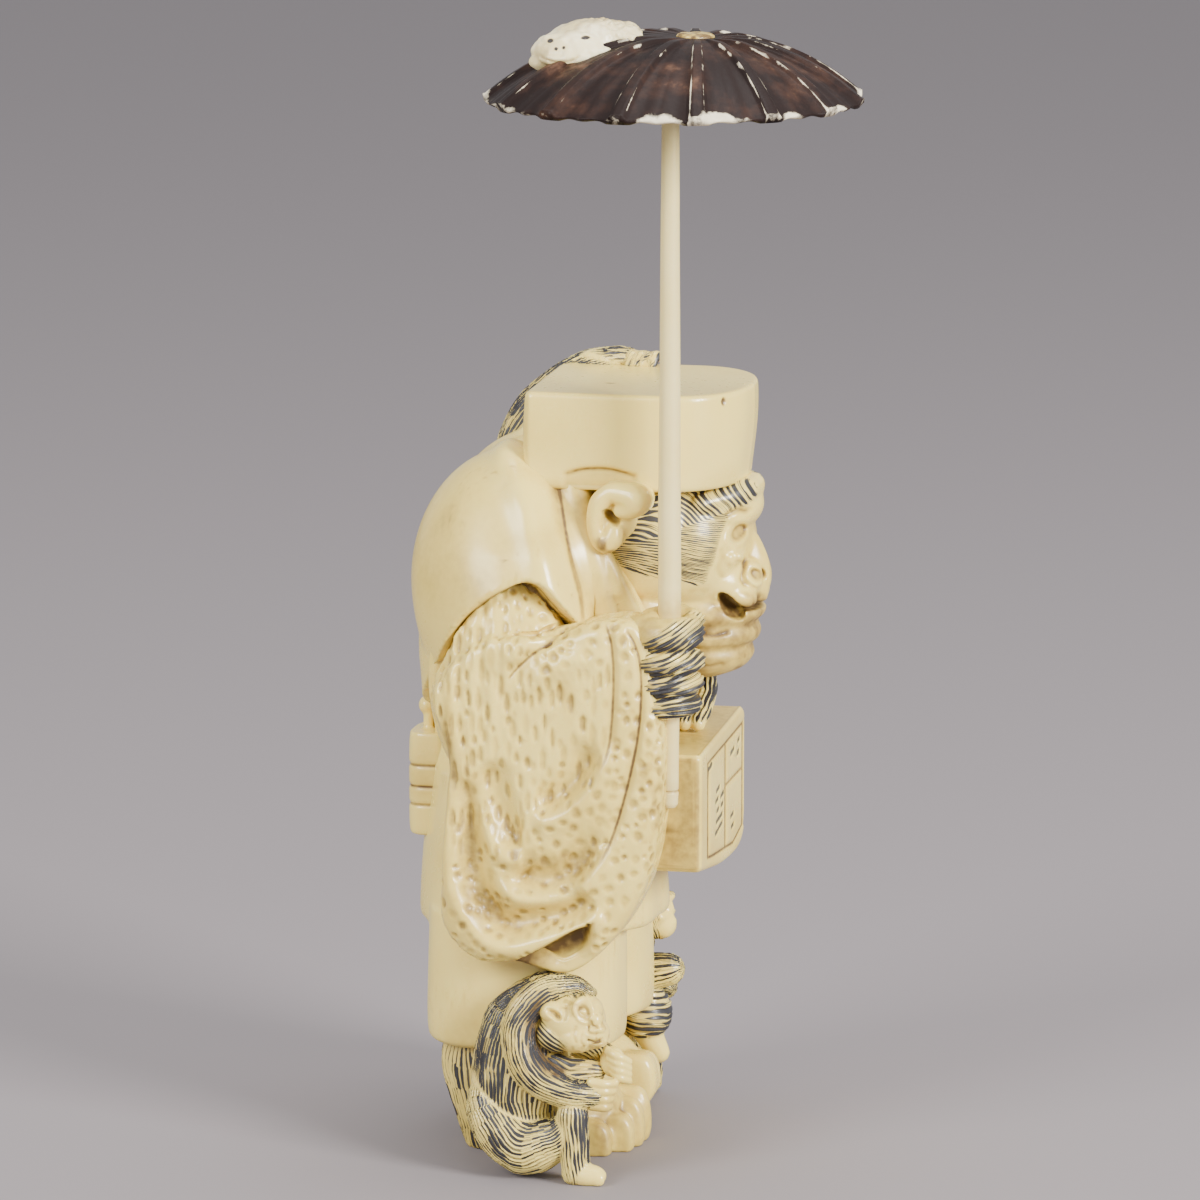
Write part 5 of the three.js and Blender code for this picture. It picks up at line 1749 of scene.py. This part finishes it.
# ---------------------------------------------------------------- frog
# A frog left unstained sits on the parasol's top, carved from the same piece, so the stain ends in a
# ragged line round it. Its skin is rough, with small dark eyes and nostrils.

x, y = CANOPY_X, CANOPY_Y
forms = bmesh.new()
for centre, half, turn in (
    ((x - 13.7, y - 7.4, 165.0), (5.4, 4.3, 2.7), (10, -4, 0)),
    ((x - 11.8, y - 3.4, 165.9), (6.2, 5.4, 3.0), (0, -6, 0)),
    ((x - 16.2, y - 8.6, 166.0), (1.3, 1.1, 1.0), (0, 0, 0)),
    ((x - 10.9, y - 8.4, 166.5), (1.5, 1.2, 1.0), (0, 0, 0)),
    ((x - 7.2, y - 3.2, 166.4), (3.3, 3.6, 2.2), (0, 8, 0)),
    ((x - 17.4, y - 4.4, 164.0), (2.2, 3.6, 2.2), (0, 0, 0)),
    ((x - 17.4, y - 8.4, 163.2), (1.9, 1.9, 1.3), (0, 0, 0)),
    ((x - 9.4, y - 8.8, 164.2), (2.8, 2.0, 1.4), (0, 0, 12)),
    ((x - 13.4, y - 10.4, 163.9), (4.2, 1.6, 1.2), (0, 0, 0)),
):
    add_ball(forms, centre, half, turn)
frog = carve("frog", forms, grain=0.2, softening=4)
points, facing = points_of(frog)
haunch = ease(5.6, 3.4, np.hypot(points[:, 0] - (x - 6.4), points[:, 1] - (y - 3)))
skin = (
    0.35 * (mottle(points, 0.9, 111) - 0.5) + 0.3 * (mottle(points, 2, 114) - 0.5)
    + haunch * 0.6 * (mottle(points, 0.55, 112) - 0.45)
)
raise_by(points, facing, skin)
eyes = np.zeros(len(points))
for spot, half in (
    ((x - 15.9, y - 10, 166.4), (0.5, 1.6, 0.26)),
    ((x - 10.9, y - 9.6, 166.9), (0.6, 1.6, 0.24)),
    ((x - 14.8, y - 11.6, 165.4), (0.24, 1.5, 0.22)),
    ((x - 13.7, y - 11.8, 165.6), (0.24, 1.5, 0.22)),
):
    eyes = np.maximum(eyes, dent(points, facing, spot, half, depth=0.12))
mouth, share = from_line(
    points[:, [0, 2]],
    smooth_line([(x - 17.6, 164.4), (x - 15.2, 163.6), (x - 12.7, 163.7), (x - 11.2, 164.8)]),
)
lip = bell(mouth, 0.25) * (points[:, 1] < y - 8) * tapered(share, 0.1)
cut_by(points, facing, 0.25 * lip)
points, facing = move_points(frog, points)
patina = 0.35 * patina_of(frog, points, facing, 113) + 0.9 * eyes + 0.3 * lip
patina += 0.25 * haunch * mottle(points, 1, 8) + 0.3 * ease(0.45, 0.8, mottle(points, 2.6, 115))
paint(frog, patina, engraving=eyes)
WHITE_IVORY = ivory("unstained_ivory", (0.90, 0.82, 0.58, 1), 0.36)
finish("frog", frog, WHITE_IVORY, most=30000, node="parasol_canopy", slot="pole_ivory")

# ---------------------------------------------------------------- floor, light and camera
# The carving stands on a plain pale floor under soft light from three large panels. None of these
# belongs to the object.

bm = bmesh.new()
bmesh.ops.create_grid(bm, x_segments=1, y_segments=1, size=6)
floor = as_object(as_mesh(bm, "floor"), "floor")
floor.location = (0, 0, cad_box[0][2])
grey, _, shader = new_material("pale_floor")
shader.inputs["Base Color"].default_value = (0.238, 0.21, 0.218, 1)
shader.inputs["Roughness"].default_value = 0.75
floor.data.materials.append(grey)

world = bpy.data.worlds.new("studio")
world.use_nodes = True
sky = world.node_tree.nodes["Background"]
sky.inputs["Color"].default_value = (0.96, 0.97, 1.0, 1)
sky.inputs["Strength"].default_value = 0.76
scene.world = world


def light_panel(name, place, aim, size, power, colour=(1, 1, 1)):
    data = bpy.data.lights.new(name, "AREA")
    data.shape = "SQUARE"
    data.size = size
    data.energy = power
    data.color = colour
    lamp = as_object(data, name)
    lamp.location = place
    lamp.rotation_euler = (Vector(aim) - Vector(place)).to_track_quat("-Z", "Y").to_euler()


MIDDLE = (0, 0, 0.08)
light_panel("left_panel", (-0.55, -0.8, 0.6), MIDDLE, 0.46, 12, (1, 0.99, 0.96))
light_panel("right_panel", (0.85, -0.5, 0.46), MIDDLE, 0.36, 24, (1, 0.99, 0.96))
light_panel("top_panel", (0.1, 0.1, 0.95), MIDDLE, 0.5, 5)

LENS = 228.24
CAMERA_AT, CAMERA_AIM = (234.70, -1075.96, 285.0), (6, 0, 80.5)
camera_data = bpy.data.cameras.new("camera")
camera_data.lens = LENS
camera_data.sensor_width = 36
camera_data.clip_end = 20
camera = as_object(camera_data, "camera")
camera.location = TO_ROW @ Vector(CAMERA_AT)
target = TO_ROW @ Vector(CAMERA_AIM)
camera.rotation_euler = (target - camera.location).to_track_quat("-Z", "Y").to_euler()
scene.camera = camera
